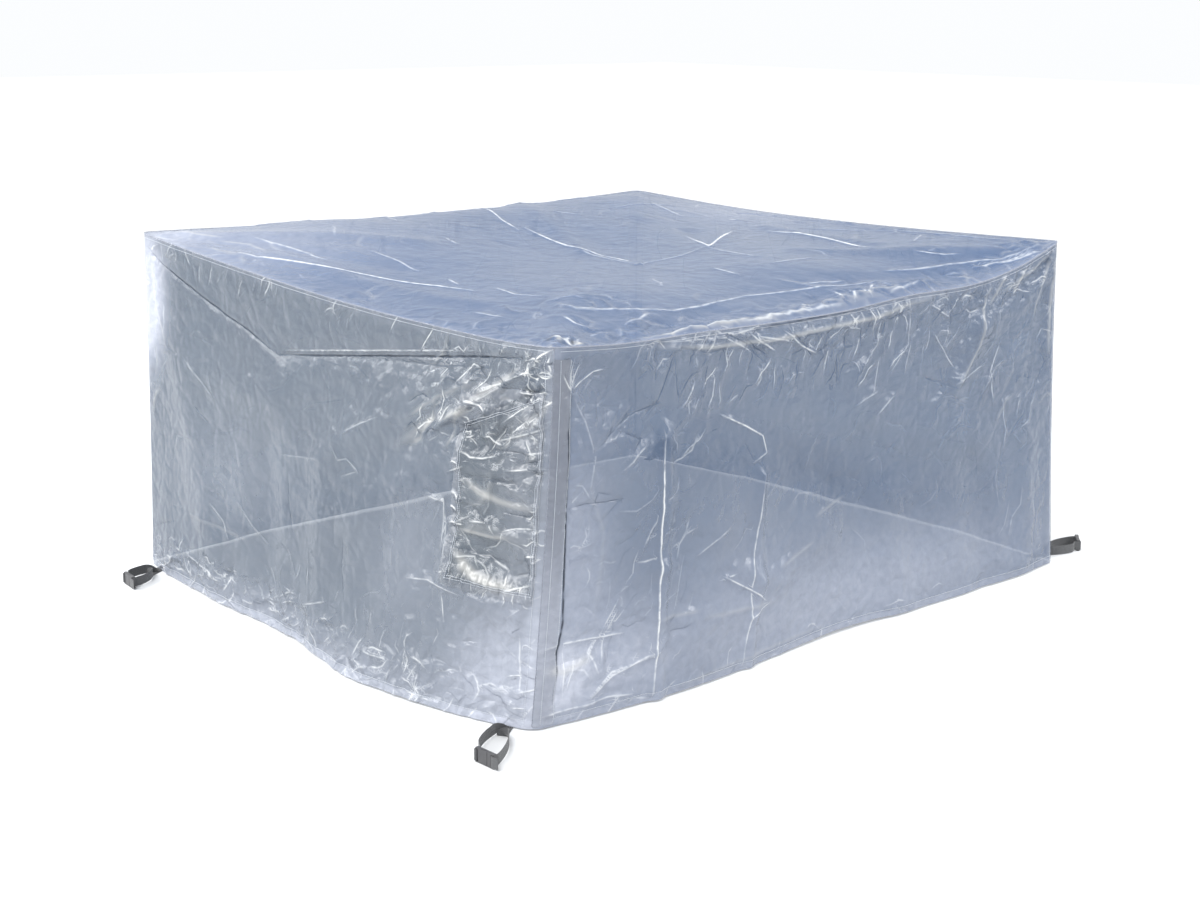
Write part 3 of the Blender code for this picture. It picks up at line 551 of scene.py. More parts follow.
END_NEAR_ZONES = read_zones("""420  0 .88  1.65 1  .012 .07  5 9  1 3  .6 10 60
90  .6 .8  1.4 .97  .015 .06  5 8  .6 1.8  .5 100 60
150  1.2 .03  1.64 .3  .02 .09  5 8  1 3  1 35 40
60  1.22 .03  1.64 .3  .04 .14  10 16  2 4  .45 38 25
60  1.57 .02  1.65 .15  .01 .045  5 7  1.5 4  1.2 20 90
70  1.6 .1  1.64 .95  .012 .04  5 7  1 2  .7 10 50
90  0 .01  1.65 .06  .015 .06  5 8  1 2.5  .55 70 50
110  0 .05  1.65 .9  .03 .14  5 8  .6 1.6  .17 60 90
26  0 .02  .1 .5  .03 .11  6 12  1 3  .45 80 25""")
PATCH_ZONES = read_zones("""60  1.38 .14  1.62 .67  .03 .12  5 7  1 3  .6 8 30
16  1.38 .14  1.61 .66  .08 .18  14 24  2 5  .25 5 15
70  1.36 .15  1.4 .67  .008 .03  4 6  1 3  .9 0 30
60  1.6 .13  1.625 .67  .008 .03  4 6  1 3  .9 0 30
50  1.37 .62  1.625 .67  .008 .03  4 6  1 3  .9 90 30""")
SIDE_NEAR_ZONES = read_zones("""80  .05 .03  .45 .6  .02 .11  5 9  .6 1.8  .4 40 60
60  .05 .6  .4 .99  .02 .1  5 9  .6 1.8  .5 60 60
240  .25 .005  1.85 .09  .015 .08  5 9  1.2 3.5  .62 40 60
120  .4 .05  1.3 .22  .02 .09  5 9  1 3  .7 55 50
90  1.3 .03  1.84 .5  .04 .14  5 10  1 2.5  .35 60 40
130  .1 .1  1.84 .95  .03 .15  5 8  .6 1.6  .18 50 90
90  0 .93  1.85 1  .015 .07  5 8  .6 1.6  .4 20 60""")
FAR_ZONES = read_zones("""110  .03 .01  1.62 .1  .03 .09  8 18  1 2.5  .4 70 50
110  .03 .9  1.62 1  .03 .09  8 18  1 2.5  .35 45 60
110  .05 .08  1.6 .92  .06 .18  7 9  .6 1.6  .28 50 90""")
# On the top the corners are shares of its length and width from the near left corner.
TOP_ZONES = read_zones("""36  0 0  .07 .03  .015 .045  8 10  2 4  1.2 10 90
260  0 0  1 .07  .02 .09  8 12  1.2 3  .38 0 70
120  0 0  .25 .25  .02 .09  8 12  1.2 3  .45 40 60
120  0 .05  .06 1  .02 .09  8 12  1.2 2.5  .28 80 60
90  .94 0  1 1  .02 .09  8 12  1.2 2.5  .28 70 60
90  .05 .95  1 1  .02 .09  8 12  1.2 2.5  .25 90 60
170  .04 .04  .96 .96  .03 .15  8 12  .6 1.6  .35 60 90""")


def scatter(zones, seed):
    """Draw the crumples of some zones: where each one is, and a short mark whose points are measured from there."""
    draw = np.random.default_rng(seed)
    made = []
    for zone in zones:
        for _ in range(zone.count):
            at = draw.uniform(zone.low, zone.high)
            heading = radians(zone.heading + draw.normal(0, zone.spread / 2))
            strength = draw.uniform() ** 2.5  # most are faint and short
            size = zone.length[0] + (zone.length[1] - zone.length[0]) * (0.35 * draw.uniform() + 0.65 * strength)
            steps = []
            for _ in range(3):
                steps.append(np.array([cos(heading), sin(heading)]) * size / 3)
                heading += draw.normal(0, 0.45)
            route = np.cumsum([-sum(steps) / 2, *steps], axis=0)
            # Most crumples are white, partly a painted highlight; the rest are dark, painted shade.
            white = 1 if draw.uniform() < 0.62 else -1
            tone = white * zone.tone * (0.1 + 0.7 * strength)
            rise = draw.uniform(*zone.rise) * (0.5 + strength) * (1 if draw.uniform() < 0.6 else -1)
            made.append((at, Mark(draw.uniform(*zone.width), rise, tone, route)))
    return made


# %% Painted reflections and crumpled places: along the wall, height, reach along and upwards, amount, all in thousandths
Spot = namedtuple("Spot", "at height wide high amount")
PAINTED_SHEEN = {
    "end_wall_near": """15 750 80 160 1600; 800 0 1200 80 400; 1520 110 120 120 450; 1650 150 120 200 500
450 330 350 160 120; 1250 300 150 200 180""",
    "side_wall_near": """50 95 75 75 800; 230 110 110 120 300; 900 80 900 160 520; 600 300 250 150 120
60 330 130 280 450""",
    "end_wall_far": "800 0 2000 170 500",
    "side_wall_far": "900 0 2000 170 500",
}
CALM = 0.10  # how crumpled the film is away from these places
CRUMPLED = {
    "end_wall_near": "800 0 1400 85 850; 1620 640 260 170 900; 1500 170 160 110 400; 0 800 100 250 450",
    "side_wall_near": """950 830 1000 45 800; 20 600 130 250 550; 1600 680 350 180 550; 100 110 150 100 500
900 0 1000 30 500""",
    "end_wall_far": "800 880 1000 100 450; 800 0 1000 80 500",
    "side_wall_far": "900 880 1000 100 450; 900 0 1000 80 500",
}


def spots(table, side, along, height):
    """The summed effect of a table's soft-edged places on a wall."""
    places = rows(Spot, table[side.name])
    return sum(p.amount * hump(along - p.at, p.wide) * hump(height - p.height, p.high) for p in places)


# %% Pressing marks into a surface
CREASE_CORE = 0.0025  # how blunt a crease is along its line
BROAD = 9  # millimetres: from this width on, a mark's tone is a soft roll, and below it a thin line
NO_LINE = 9.0  # where a point is far from any line


def press(first, second, marks, step, line_share=0.30):
    """What marks do to a panel, over its two flat coordinates on a grid of this step: its rise in metres, its
    broad tone, and for the narrow mark that counts most at each point, the mark's strength and its line, which
    is how many line widths to one side or the other the point lies. From that the finish draws a line finer
    than the grid. line_share is a thin line's half-width, as a share of its mark's."""
    rise, tone, strength, most = (np.zeros(first.shape) for _ in range(4))
    line = np.full(first.shape, NO_LINE)
    for mark in marks:
        width = mark.width / 1000
        route = np.array(mark.route)
        low, high = route.min(axis=0) - 4 * width, route.max(axis=0) + 4 * width
        near = (first > low[0]) & (first < high[0]) & (second > low[1]) & (second < high[1])
        if not near.any():
            continue
        lengths = np.linalg.norm(np.diff(route, axis=0), axis=1)
        away, hand, gone, passed = 1.0, 0.0, 0.0, 0.0
        for start, end, length in zip(route, route[1:], lengths):
            share, x, y = beside(first[near], second[near], start, end)
            closer = np.hypot(x, y) < away
            away = np.where(closer, np.hypot(x, y), away)
            hand = np.where(closer, np.sign((end - start)[0] * y - (end - start)[1] * x), hand)
            gone = np.where(closer, (passed + share * length) / lengths.sum(), gone)
            passed += length
        rise[near] += mark.rise / 1000 * np.exp(-(np.hypot(away, CREASE_CORE) - CREASE_CORE) / (width * 0.7))
        colour = mark.tone * (0.3 + 0.7 * smooth(np.minimum(gone, 1 - gone) / 0.2))  # fainter at its ends
        # A wide mark's tone is a soft roll of painted highlight or painted shade; a narrow one's is a thin line.
        if mark.width >= BROAD:
            tone[near] += colour * hump(away, max(width * 0.45, step * 0.72))
            continue
        weight = abs(mark.tone) * hump(away, 2 * step)
        counts = weight > most[near]
        most[near] = np.where(counts, weight, most[near])
        strength[near] = np.where(counts, colour * hump(away, 2.5 * step), strength[near])
        line[near] = np.where(counts, away * hand / (line_share * width), line[near])
    return rise, {"tone": tone, "mark": strength, "line": line}


# %% Facets of crumpled film
FACET_LONG, FACET_SHORT = 18, 38  # facets in a metre, the way they lie and across it
FACET_RISE = 0.0032  # metres, where the film is fully crumpled


def facets_of(first, second, crumple, lie, seed):
    """The relief of crumpled film, in metres: small facets between sharp folds, some raised and some sunk."""
    turn = radians(lie)
    bent = first + 0.012 * np.sin(23 * second + seed), second + 0.010 * np.sin(29 * first + 2 * seed)
    long = (bent[0] * cos(turn) + bent[1] * sin(turn)) * FACET_LONG
    short = (bent[1] * cos(turn) - bent[0] * sin(turn)) * FACET_SHORT
    places = zip(long.ravel().tolist(), short.ravel().tolist())
    near = (noise.voronoi((a, b, seed))[0] for a, b in places)  # distances to the four nearest centres
    fold = np.fromiter((d[1] - d[0] for d in near), float, first.size).reshape(first.shape)
    slow = np.sin(7 * first + 3 * seed) * np.sin(9 * second + seed)
    return FACET_RISE * crumple * (fold - 0.35) * (0.45 + 0.75 * slow)


# %% [markdown]
# ## Film sheets
# The film is 0.2 mm thick, which no view can show, so each panel is one open sheet of faces that look outwards.
# A closed one would need every face twice. All the faces go into a grid fine enough for narrow creases, about
# 4 mm on the near walls. Five numbers go with every point for the finish to read: its broad tone, which is a
# painted highlight or painted shade on soft rolls, the strength and line of the nearest thin mark, its haze,
# where the film is milky or lies double, as in the turned-up hem, or is painted pale as a reflection, and how
# crumpled it is.

# %% Pieces and sheets
def new_object(name, data):
    item = bpy.data.objects.new(name, data)
    bpy.context.scene.collection.objects.link(item)
    return item


def piece(name, mesh):
    """A mesh as a piece of the cover."""
    item = new_object(name, mesh)
    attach(item, "root")
    return item


def skin(name, points, faces, flat, looks):
    """A mesh over points above the ground, with flat coordinates in metres and the numbers the finish reads."""
    mesh = bpy.data.meshes.new(name)
    mesh.from_pydata((points.reshape(-1, 3) - UP * MOUNT_HEIGHT).tolist(), [], faces)
    corners = np.empty(len(mesh.loops), np.int32)
    mesh.loops.foreach_get("vertex_index", corners)
    mesh.uv_layers.new(name="flat").data.foreach_set("uv", flat.reshape(-1, 2)[corners].astype(np.float32).ravel())
    for title, values in looks.items():
        layer = mesh.attributes.new(title, "FLOAT", "POINT")
        layer.data.foreach_set("value", np.full(len(mesh.vertices), np.ravel(values), np.float32))
    return mesh


def make_sheet(name, grid, flat, looks):
    """An open sheet over a grid of points, whose rows run down and columns to the right from outside."""
    index = np.arange(grid[..., 0].size).reshape(grid.shape[:2])
    faces = np.stack([index[:-1, :-1], index[1:, :-1], index[1:, 1:], index[:-1, 1:]], axis=-1).reshape(-1, 4)
    mesh = skin(name, grid, faces.tolist(), flat, looks)
    mesh.shade_smooth()
    print(f"{name}: {2 * len(faces)} triangles")
    return piece(name, mesh)


# %% Where things lie on a sheet
LAID = {}  # for each sheet: its columns in metres, its rows, its points and the way they face


def on_sheet(name, along, down, rise):
    """Points a little off a sheet's outer face, at places given along it and down it."""
    columns, down_rows, outer, way = LAID[name]
    j = np.clip(np.interp(along, columns, np.arange(len(columns))), 0, len(columns) - 1.001)
    i = np.clip(np.interp(down, down_rows, np.arange(len(down_rows))), 0, len(down_rows) - 1.001)
    row, column = i.astype(int), j.astype(int)
    u, v = (i - row)[:, None], (j - column)[:, None]
    found = []
    for grid in (outer, way):
        above = grid[row, column] * (1 - v) + grid[row, column + 1] * v
        below = grid[row + 1, column] * (1 - v) + grid[row + 1, column + 1] * v
        found.append(above * (1 - u) + below * u)
    return found[0] + found[1] * rise


# %% A wall's fine surface
# Its marks, its crumples, how its facets lie in degrees, the haze of its doubled hem, and the grid's two counts.
Dress = namedtuple("Dress", "marks zones seed lie doubled columns rows")
DRESS = {
    "end_wall_near": Dress(END_NEAR_MARKS + PATCH_MARKS, END_NEAR_ZONES + PATCH_ZONES, 11, 10, 0.30, 388, 212),
    "side_wall_near": Dress(SIDE_NEAR_MARKS, SIDE_NEAR_ZONES, 12, 25, 0.15, 434, 212),
    "end_wall_far": Dress([], FAR_ZONES, 13, 10, 0.05, 200, 112),
    "side_wall_far": Dress([], FAR_ZONES, 14, 25, 0.05, 224, 112),
}
CRUMPLES = {name: scatter(dress.zones, dress.seed) for name, dress in DRESS.items()}
HEM_TURN = 0.022  # height of the turned-up hem


def moved(mark, x, y):
    return mark._replace(route=[(x + p[0], y + p[1]) for p in mark.route])


def wall_surface(side, share, down):
    """Points, flat coordinates and looks over a wall's grid."""
    dress = DRESS[side.name]
    points = wall_points(side, share, down)
    length = side_length(side)
    along = np.broadcast_to(share, points.shape[:2]) * length
    height = points[..., 2].copy()
    leaning = along + through(side.lean, "shift", along / length) * down[:, None]
    marks = list(dress.marks)
    for (at, drop), mark in CRUMPLES[side.name]:
        rim = edge_points(side, np.array([at / length]), "rim")[0, 2]
        marks.append(moved(mark, at, rim * (1 - drop)))
    rise, looks = press(leaning, height, marks, (share[1] - share[0]) * length)
    edge = np.minimum(along, length - along)
    calm = smooth(edge / 0.025) * smooth(down[:, None] * height.max() / 0.012)
    crumple = np.clip(CALM + spots(CRUMPLED, side, leaning, height), 0, 1)
    rise = rise + facets_of(leaning, height, crumple, dress.lie, dress.seed)
    points = points + directions(side)[0] * (rise * calm)[..., None]
    haze_and_sheen = 0.15 * hump(down[:, None], 0.020) + 0.3 * hump(edge, 0.02)
    # Painted reflections: pale, milky places where the glossy film mirrors bright light.
    haze_and_sheen = np.clip(haze_and_sheen + spots(PAINTED_SHEEN, side, leaning, height), 0, 1)
    return points, np.stack([leaning, height], axis=-1), {**looks, "haze_and_sheen": haze_and_sheen, "crumple": crumple}


def film_wall(side):
    dress = DRESS[side.name]
    down = np.linspace(0, 1, dress.rows)
    points, flat, looks = wall_surface(side, np.linspace(0, 1, dress.columns), down)
    outward, along = directions(side)
    points[:, 0] += (along + outward) * SEAM_SHIFT / sqrt(2)
    points[:, -1] += (outward - along) * SEAM_SHIFT / sqrt(2)
    points[0] -= UP * RIM_SHIFT
    looks["haze_and_sheen"] = looks["haze_and_sheen"] + dress.doubled * smooth((HEM_TURN - flat[..., 1]) / 0.004 + 0.5)
    LAID[side.name] = (flat[0, :, 0], down, points, facing(points))
    return make_sheet(side.name + "_film", points, flat, looks)


walls = {side.name: film_wall(side) for side in SIDES}

# %% The top
TOP_COLUMNS, TOP_ROWS = 326, 292
TOP_LIE = 70  # degrees
TOP_CALM = 0.03  # its middle is drawn smooth
# Pale places on the top, which are painted reflections.
TOP_PAINTED_SHEEN = [(-0.75, 0.55, 0.35, 0.40), (0.80, 0.25, 0.25, 0.30), (-0.88, 0.77, 0.12, 0.50)]  # x, y, reach, amount


def film_top():
    long_share, short_share = np.linspace(0, 1, TOP_COLUMNS), np.linspace(0, 1, TOP_ROWS)
    points = top_points(long_share, short_share)
    x, y = points[..., 0], points[..., 1]
    crumples = scatter(TOP_ZONES, 15)
    crumples = [moved(mark, (at[0] - 0.5) * LENGTH, (at[1] - 0.5) * WIDTH) for at, mark in crumples]
    rise, looks = press(x, y, TOP_MARKS + crumples, LENGTH / TOP_COLUMNS, 0.5)
    u, v = np.meshgrid(long_share * LENGTH, short_share * WIDTH)
    edge = np.minimum.reduce([u, LENGTH - u, v, WIDTH - v])
    # Paler along its edges, and along the near rim except at its left end, where the pale is a painted highlight on
    # the rolled rim.
    haze_and_sheen = 0.15 * hump(edge, 0.02) + 0.10 * hump(v, 0.035) * smooth(u / 0.5)
    for at_x, at_y, reach, amount in TOP_PAINTED_SHEEN:
        haze_and_sheen += amount * hump(np.hypot(x - at_x, y - at_y), reach)
    crumple = TOP_CALM + 0.45 * hump(edge, 0.05) + 0.5 * hump(v, 0.035)
    rise = rise + facets_of(x, y, crumple, TOP_LIE, 16)
    points[..., 2] += rise * smooth(edge / 0.02)
    points[0] -= plan_normals(SIDE_NEAR, long_share) * RIM_SHIFT
    points[-1] -= plan_normals(SIDE_FAR, 1 - long_share) * RIM_SHIFT
    points[:, 0] -= plan_normals(END_NEAR, 1 - short_share) * RIM_SHIFT
    points[:, -1] -= plan_normals(END_FAR, short_share) * RIM_SHIFT
    looks = {title: grid[::-1] for title, grid in {**looks, "haze_and_sheen": haze_and_sheen, "crumple": crumple}.items()}
    return make_sheet("top_film", points[::-1], np.stack([u, v], axis=-1)[::-1], looks)


top = film_top()

# %% [markdown]
# ## The rectangle and the band at the near corner
# Both are sewn over the wall, so they follow it: the same surface on a finer grid, set off outwards. Their seams
# draw the film up, so beside each seam it puckers, always outwards, away from the wall.

# %% Sewn-on pieces
PATCH_FIRST, PATCH_LAST = 1.355, 1.625
PATCH_TOP, PATCH_BOTTOM = 0.12, 0.67
BAND_WIDTH = 0.052
BAND_TOP = 0.03
LAY = 0.0022  # of a sewn-on piece's middle, outwards from the wall's
TUCKS = 400  # more puckers than any seam has


def puckers(seed, distance, along, pitch, rise, reach=0.010):
    """Little gathers beside a seam: humps of uneven width along it that die away from it."""
    draw = np.random.default_rng(seed)
    at = np.cumsum(draw.uniform(0.5, 1.5, TUCKS)) * pitch
    size = draw.uniform(0.2, 1.0, TUCKS)
    lean = draw.normal(0, 0.35, TUCKS)
    total = np.zeros(distance.shape)
    for k in np.flatnonzero(at <= along.max() + pitch):
        total += size[k] * hump(along - at[k] - lean[k] * distance, pitch * 0.30)
    return rise * total * np.exp(-distance / reach)


def patch_seams(along, down, width, height):
    """How far inside its side seams and its end seams each point of the rectangle lies. The seams lean a little."""
    left = along - (0.010 + 0.022 * down / height)
    right = width - 0.006 - along
    top = down - (0.012 + 0.10 * np.clip(1 - along / (0.75 * width), 0, 1))
    bottom = height - 0.014 - 0.008 * along / width - down
    return np.minimum(left, right), np.minimum(top, bottom)


def sewn_piece(name, side, ends, columns, down_rows, seed):
    """A sheet that follows a wall between two places along it."""
    share = (np.linspace(*ends, columns) - CORNER_INSET) / (side_length(side) - 2 * CORNER_INSET)
    points, flat, looks = wall_surface(side, share, down_rows)
    way = facing(points)
    along, down = flat[..., 0] - flat[..., 0].min(), flat[..., 1].max() - flat[..., 1]
    width, height = along.max(), down.max()
    if name == "corner_patch_film":
        to_side, to_end = patch_seams(along, down, width, height)
        bulge = puckers(seed, np.abs(to_side), down, 0.013, 0.0024)
        bulge += puckers(seed + 1, np.abs(to_end), along, 0.013, 0.0022)
        inside = np.minimum(to_side, to_end)
        looks["tone"] -= 0.22 * hump(inside, 0.004)
        looks["haze_and_sheen"] = 0.06 + 0.16 * smooth(0.5 - inside / 0.006)
        looks["haze_and_sheen"] += 0.16 * smooth((along / width - 0.40) / 0.45)  # paler towards the corner
        looks["crumple"] = 0.14 + 0.60 * hump(inside, 0.016)
    else:
        bulge = puckers(seed, np.minimum(along, width - along), down, 0.014, 0.0022)
        looks["haze_and_sheen"] = 0.16 + 0.45 * smooth((0.50 - flat[..., 1]) / 0.30)
    points = points + way * (LAY + bulge)[..., None]
    # The puckers are painted lighter where they stand out: a painted highlight.
    looks["tone"] = looks["tone"] + bulge * 40
    LAID[name] = (flat[0, :, 0], down_rows, points, way)
    return make_sheet(name, points, flat, looks)


patch_rows, band_rows = np.linspace(PATCH_TOP, PATCH_BOTTOM, 150), np.linspace(BAND_TOP, 0.992, 261)
patch = sewn_piece("corner_patch_film", END_NEAR, (PATCH_FIRST, PATCH_LAST), 91, patch_rows, 21)
band = sewn_piece("corner_band_film", SIDE_NEAR, (CORNER_INSET, BAND_WIDTH), 18, band_rows, 23)

WALL_CUT, PATCH_CUT, BAND_CUT = 0.90, 0.45, 0.80  # metres from top to bottom, as cut
for item, node_name, flat_size in (
    (top, "top_panel", (WIDTH, LENGTH)),
    *((walls[side.name], side.name, (WALL_CUT, side_length(side))) for side in SIDES),
    (patch, "corner_patch", (PATCH_LAST - PATCH_FIRST, PATCH_CUT)),
    (band, "corner_band", (BAND_WIDTH, BAND_CUT)),
):
    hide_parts(node_name)
    print(node_name, "is cut", round(flat_size[0], 3), "by", round(flat_size[1], 3), "m")

# %% [markdown]
# ## Seams
# Where two panels meet, their edges are laid together, turned over and sewn through, which leaves a narrow
# welt. It is a strip swept along the seam: a curve with a small flattened section, uneven as sewn film is.

# %% Welts
WELT_HALF = 0.0020
WELT_SIDES = 8
WELT_LOOKS = {"tone": 0.05, "mark": 0, "line": 1, "haze_and_sheen": 0.35, "crumple": 0.3}
SEAM_STEP = 0.006


def travelled(points):
    """How far along a route each of its points lies."""
    return np.concatenate([[0], np.cumsum(np.linalg.norm(np.diff(points, axis=0), axis=1))])


def unit(vectors):
    return vectors / np.linalg.norm(vectors, axis=1, keepdims=True)


def sweep(name, route, wide, thick, seed):
    """A closed, slightly uneven strip along a route; wide and thick are its two half-axes, as directions."""
    draw = np.random.default_rng(seed)
    count, sides = len(route), WELT_SIDES
    angles = np.linspace(0, 2 * pi, sides, endpoint=False)
    uneven = 1 + 0.22 * np.convolve(draw.normal(0, 1, count + 4), np.ones(5) / 5, "valid")[:, None]
    ring = (
        route[:, None, :]
        + wide[:, None, :] * (np.cos(angles) * uneven)[..., None]
        + thick[:, None, :] * (np.sin(angles) * uneven)[..., None]
    )
    i, k = np.meshgrid(np.arange(count - 1), np.arange(sides), indexing="ij")
    a, b = i * sides + k, i * sides + (k + 1) % sides
    quads = np.stack([a, b, b + sides, a + sides], axis=-1).reshape(-1, 4)
    ends = [list(range(sides))[::-1], list(range((count - 1) * sides, count * sides))]
    flat = np.stack([np.repeat(travelled(route), sides), np.tile(angles * WELT_HALF, count)], axis=-1)
    mesh = skin(name, ring, quads.tolist() + ends, flat, WELT_LOOKS)
    tool = bmesh.new()
    tool.from_mesh(mesh)
    bmesh.ops.recalc_face_normals(tool, faces=tool.faces)
    tool.to_mesh(mesh)
    tool.free()
    mesh.shade_smooth()
    return piece(name, mesh)


welts = []
for side in SIDES:
    share = np.linspace(0, 1, int(side_length(side) / SEAM_STEP))
    rim = edge_points(side, share, "rim")
    out = unit(plan_normals(side, share) + UP)
    across = unit(np.cross(np.gradient(rim, axis=0), out))
    name = "rim_welt_" + side.name
    welts.append(sweep(name, rim + out * 0.0012, across * WELT_HALF, out * 0.0011, 30 + len(welts)))
    seam = wall_points(side, np.array([0.0]), np.linspace(0.004, 0.994, 140))[:, 0]
    out = np.repeat(plan_normals(side, np.array([0.0])), len(seam), axis=0)
    across = np.cross(out, UP)
    name = "corner_welt_" + side.name
    welts.append(sweep(name, seam + out * 0.0010, across * WELT_HALF, out * 0.0010, 40 + len(welts)))
print(len(welts), "welts")

# %% [markdown]
# ## Finishes
# Film: a lone Principled shader whose alpha lets the background through, higher where the film is creased or
# milky. Its colour leans to white along stress lines, which are partly painted highlights, to cream in the
# painted highlights of soft rolls, to milk where the film is milky or painted pale as a reflection, and to
# slate in the dark lines and rolls, which are painted shade. Five bumps work at real scale: the net of
# threads every 2.4 mm, which the close view of the real film shows, sharp folds about 60 mm apart, facets of
# 20 to 40 mm, the drawn lines, and slow waves of 70 mm.

# %% Node helpers
def fill(tree, target, inputs):
    """Set a node's inputs, or link them where a value comes from another node."""
    for key, value in inputs.items():
        if isinstance(value, bpy.types.NodeSocket):
            tree.links.new(value, target.inputs[key])
        else:
            target.inputs[key].default_value = value
    return target


def node(tree, kind, inputs={}, **settings):
    """Add a node to a tree."""
    made = tree.nodes.new(kind)
    for key, value in settings.items():
        setattr(made, key, value)
    return fill(tree, made, inputs)


def new_material(name):
    """A material, its node tree, and how to set its shader's inputs."""
    made = bpy.data.materials.new(name)
    made.use_nodes = True
    return made, made.node_tree, partial(fill, made.node_tree, made.node_tree.nodes["Principled BSDF"])


def math(tree, operation, first, second=0.0, clamp=False):
    return node(tree, "ShaderNodeMath", {0: first, 1: second}, operation=operation, use_clamp=clamp).outputs[0]


def mix(tree, share, first, second):
    return node(tree, "ShaderNodeMix", {0: share, 6: first, 7: second}, data_type="RGBA").outputs[2]


def flat_place(tree):
    return node(tree, "ShaderNodeUVMap", uv_map="flat").outputs[0]


def solid_place(tree):
    return node(tree, "ShaderNodeTexCoord").outputs["Object"]


def speckle(tree, place, scale, detail, out="Fac", **more):
    """Noise with this many waves in a metre."""
    inputs = {"Vector": place, "Scale": scale, "Detail": detail, **more}
    return node(tree, "ShaderNodeTexNoise", inputs).outputs[out]


def spread(tree, value, low, high, first=0.0, last=1.0):
    """A value that runs from first to last, spread from low to high."""
    inputs = {"Value": value, "From Min": first, "From Max": last, "To Min": low, "To Max": high}
    return node(tree, "ShaderNodeMapRange", inputs).outputs[0]


def bumps(tree, *layers, strength=1.0):
    """Bumps one on another, from layers of height and distance in metres."""
    normal = {}
    for height, distance in layers:
        inputs = {"Strength": strength, "Distance": distance, "Height": height, **normal}
        normal = {"Normal": node(tree, "ShaderNodeBump", inputs).outputs[0]}
    return normal


# %% Film
# Tints: white for stress lines, partly painted highlights; cream for painted highlights on rolls; milk for milky film
# and painted reflections; slate for painted shade in the creases.
WHITE, CREAM = (0.88, 0.89, 0.88, 1), (0.47, 0.465, 0.44, 1)
MILK_AND_SHEEN, SLATE = (0.45, 0.475, 0.555, 1), (0.035, 0.045, 0.065, 1)


def film(name, colour, deep, alpha, roughness, crinkle, shine=0.45, lie=25):
    """Clear woven film. colour and deep are its tint and that of its darker clouds, lie how its crumples lie."""
    made, tree, paint = new_material(name)
    plus, times, most, least = (partial(math, tree, kind) for kind in ("ADD", "MULTIPLY", "MAXIMUM", "MINIMUM"))
    place = flat_place(tree)
    tone, haze_and_sheen, mark, line, crumple = (
        node(tree, "ShaderNodeAttribute", attribute_name=title).outputs["Fac"]
        for title in ("tone", "haze_and_sheen", "mark", "line", "crumple")
    )

    clouds = speckle(tree, place, 5.0, 3.0, Roughness=0.6)
    fine = speckle(tree, place, 45.0, 3.0, Distortion=0.4)
    thin = math(tree, "EXPONENT", times(times(line, line), -1.0))
    drawn = times(times(mark, thin), spread(tree, fine, 0.45, 1.0, 0.35, 0.55))
    # Positive broad tone is a painted highlight on soft rolls and puckers, the drawn white lines are partly painted
    # highlights, and the dark is painted shade in the creases and beside the rolls.
    painted_highlight = most(tone, 0.0, clamp=True)
    white = most(drawn, 0.0, clamp=True)
    dark = times(plus(least(tone, 0.0), least(drawn, 0.0)), -1.0, clamp=True)
    milk_and_sheen = times(haze_and_sheen, spread(tree, fine, 0.6, 1.3), clamp=True)
    base = mix(tree, clouds, (*deep, 1), (*colour, 1))
    for share, tint in ((milk_and_sheen, MILK_AND_SHEEN), (painted_highlight, CREAM), (white, WHITE), (dark, SLATE)):
        base = mix(tree, share, base, tint)

    solid = plus(times(white, 0.55), times(dark, 0.60))
    solid = plus(solid, times(painted_highlight, 0.35))
    solid = plus(solid, times(milk_and_sheen, 0.15))
    cloudy = times(math(tree, "SUBTRACT", clouds, 0.5), 0.12)
    solid = plus(plus(solid, cloudy), alpha, clamp=True)

    def cracks(where, scale):
        settings = {"feature": "DISTANCE_TO_EDGE", "voronoi_dimensions": "2D"}
        return node(tree, "ShaderNodeTexVoronoi", {"Vector": where, "Scale": scale}, **settings).outputs["Distance"]

    def threads(way):
        settings = {"wave_type": "BANDS", "bands_direction": way}
        return node(tree, "ShaderNodeTexWave", {"Vector": place, "Scale": 130.0}, **settings).outputs["Fac"]

    def vectors(operation, first, second):
        return node(tree, "ShaderNodeVectorMath", {0: first, 1: second}, operation=operation).outputs[0]

    warped = vectors("MULTIPLY", speckle(tree, place, 9.0, 1.0, "Color"), (0.06, 0.06, 0.0))
    warped = vectors("ADD", place, warped)
    turned = {"Vector": warped, "Rotation": (0, 0, radians(lie)), "Scale": (0.5, 1.2, 1.0)}
    lying = node(tree, "ShaderNodeMapping", turned).outputs[0]
    folds = times(least(cracks(warped, 17.0), 0.22), plus(times(crumple, 2.0), 0.6))
    facets = times(cracks(lying, 46.0), crumple)
    slow = speckle(tree, place, 14.0, 2.0, Roughness=0.55)
    normal = bumps(
        tree,
        (most(threads("X"), threads("Y")), 0.00003),
        (folds, 0.0055 * crinkle),
        (facets, 0.0036 * crinkle),
        (drawn, 0.002),
        (slow, 0.010 * crinkle),
    )
    rough = spread(tree, fine, roughness * 0.7, roughness * 1.4)
    paint({"Base Color": base, "Alpha": solid, "Roughness": rough, "IOR": 1.5, "Specular IOR Level": shine, **normal})
    return made


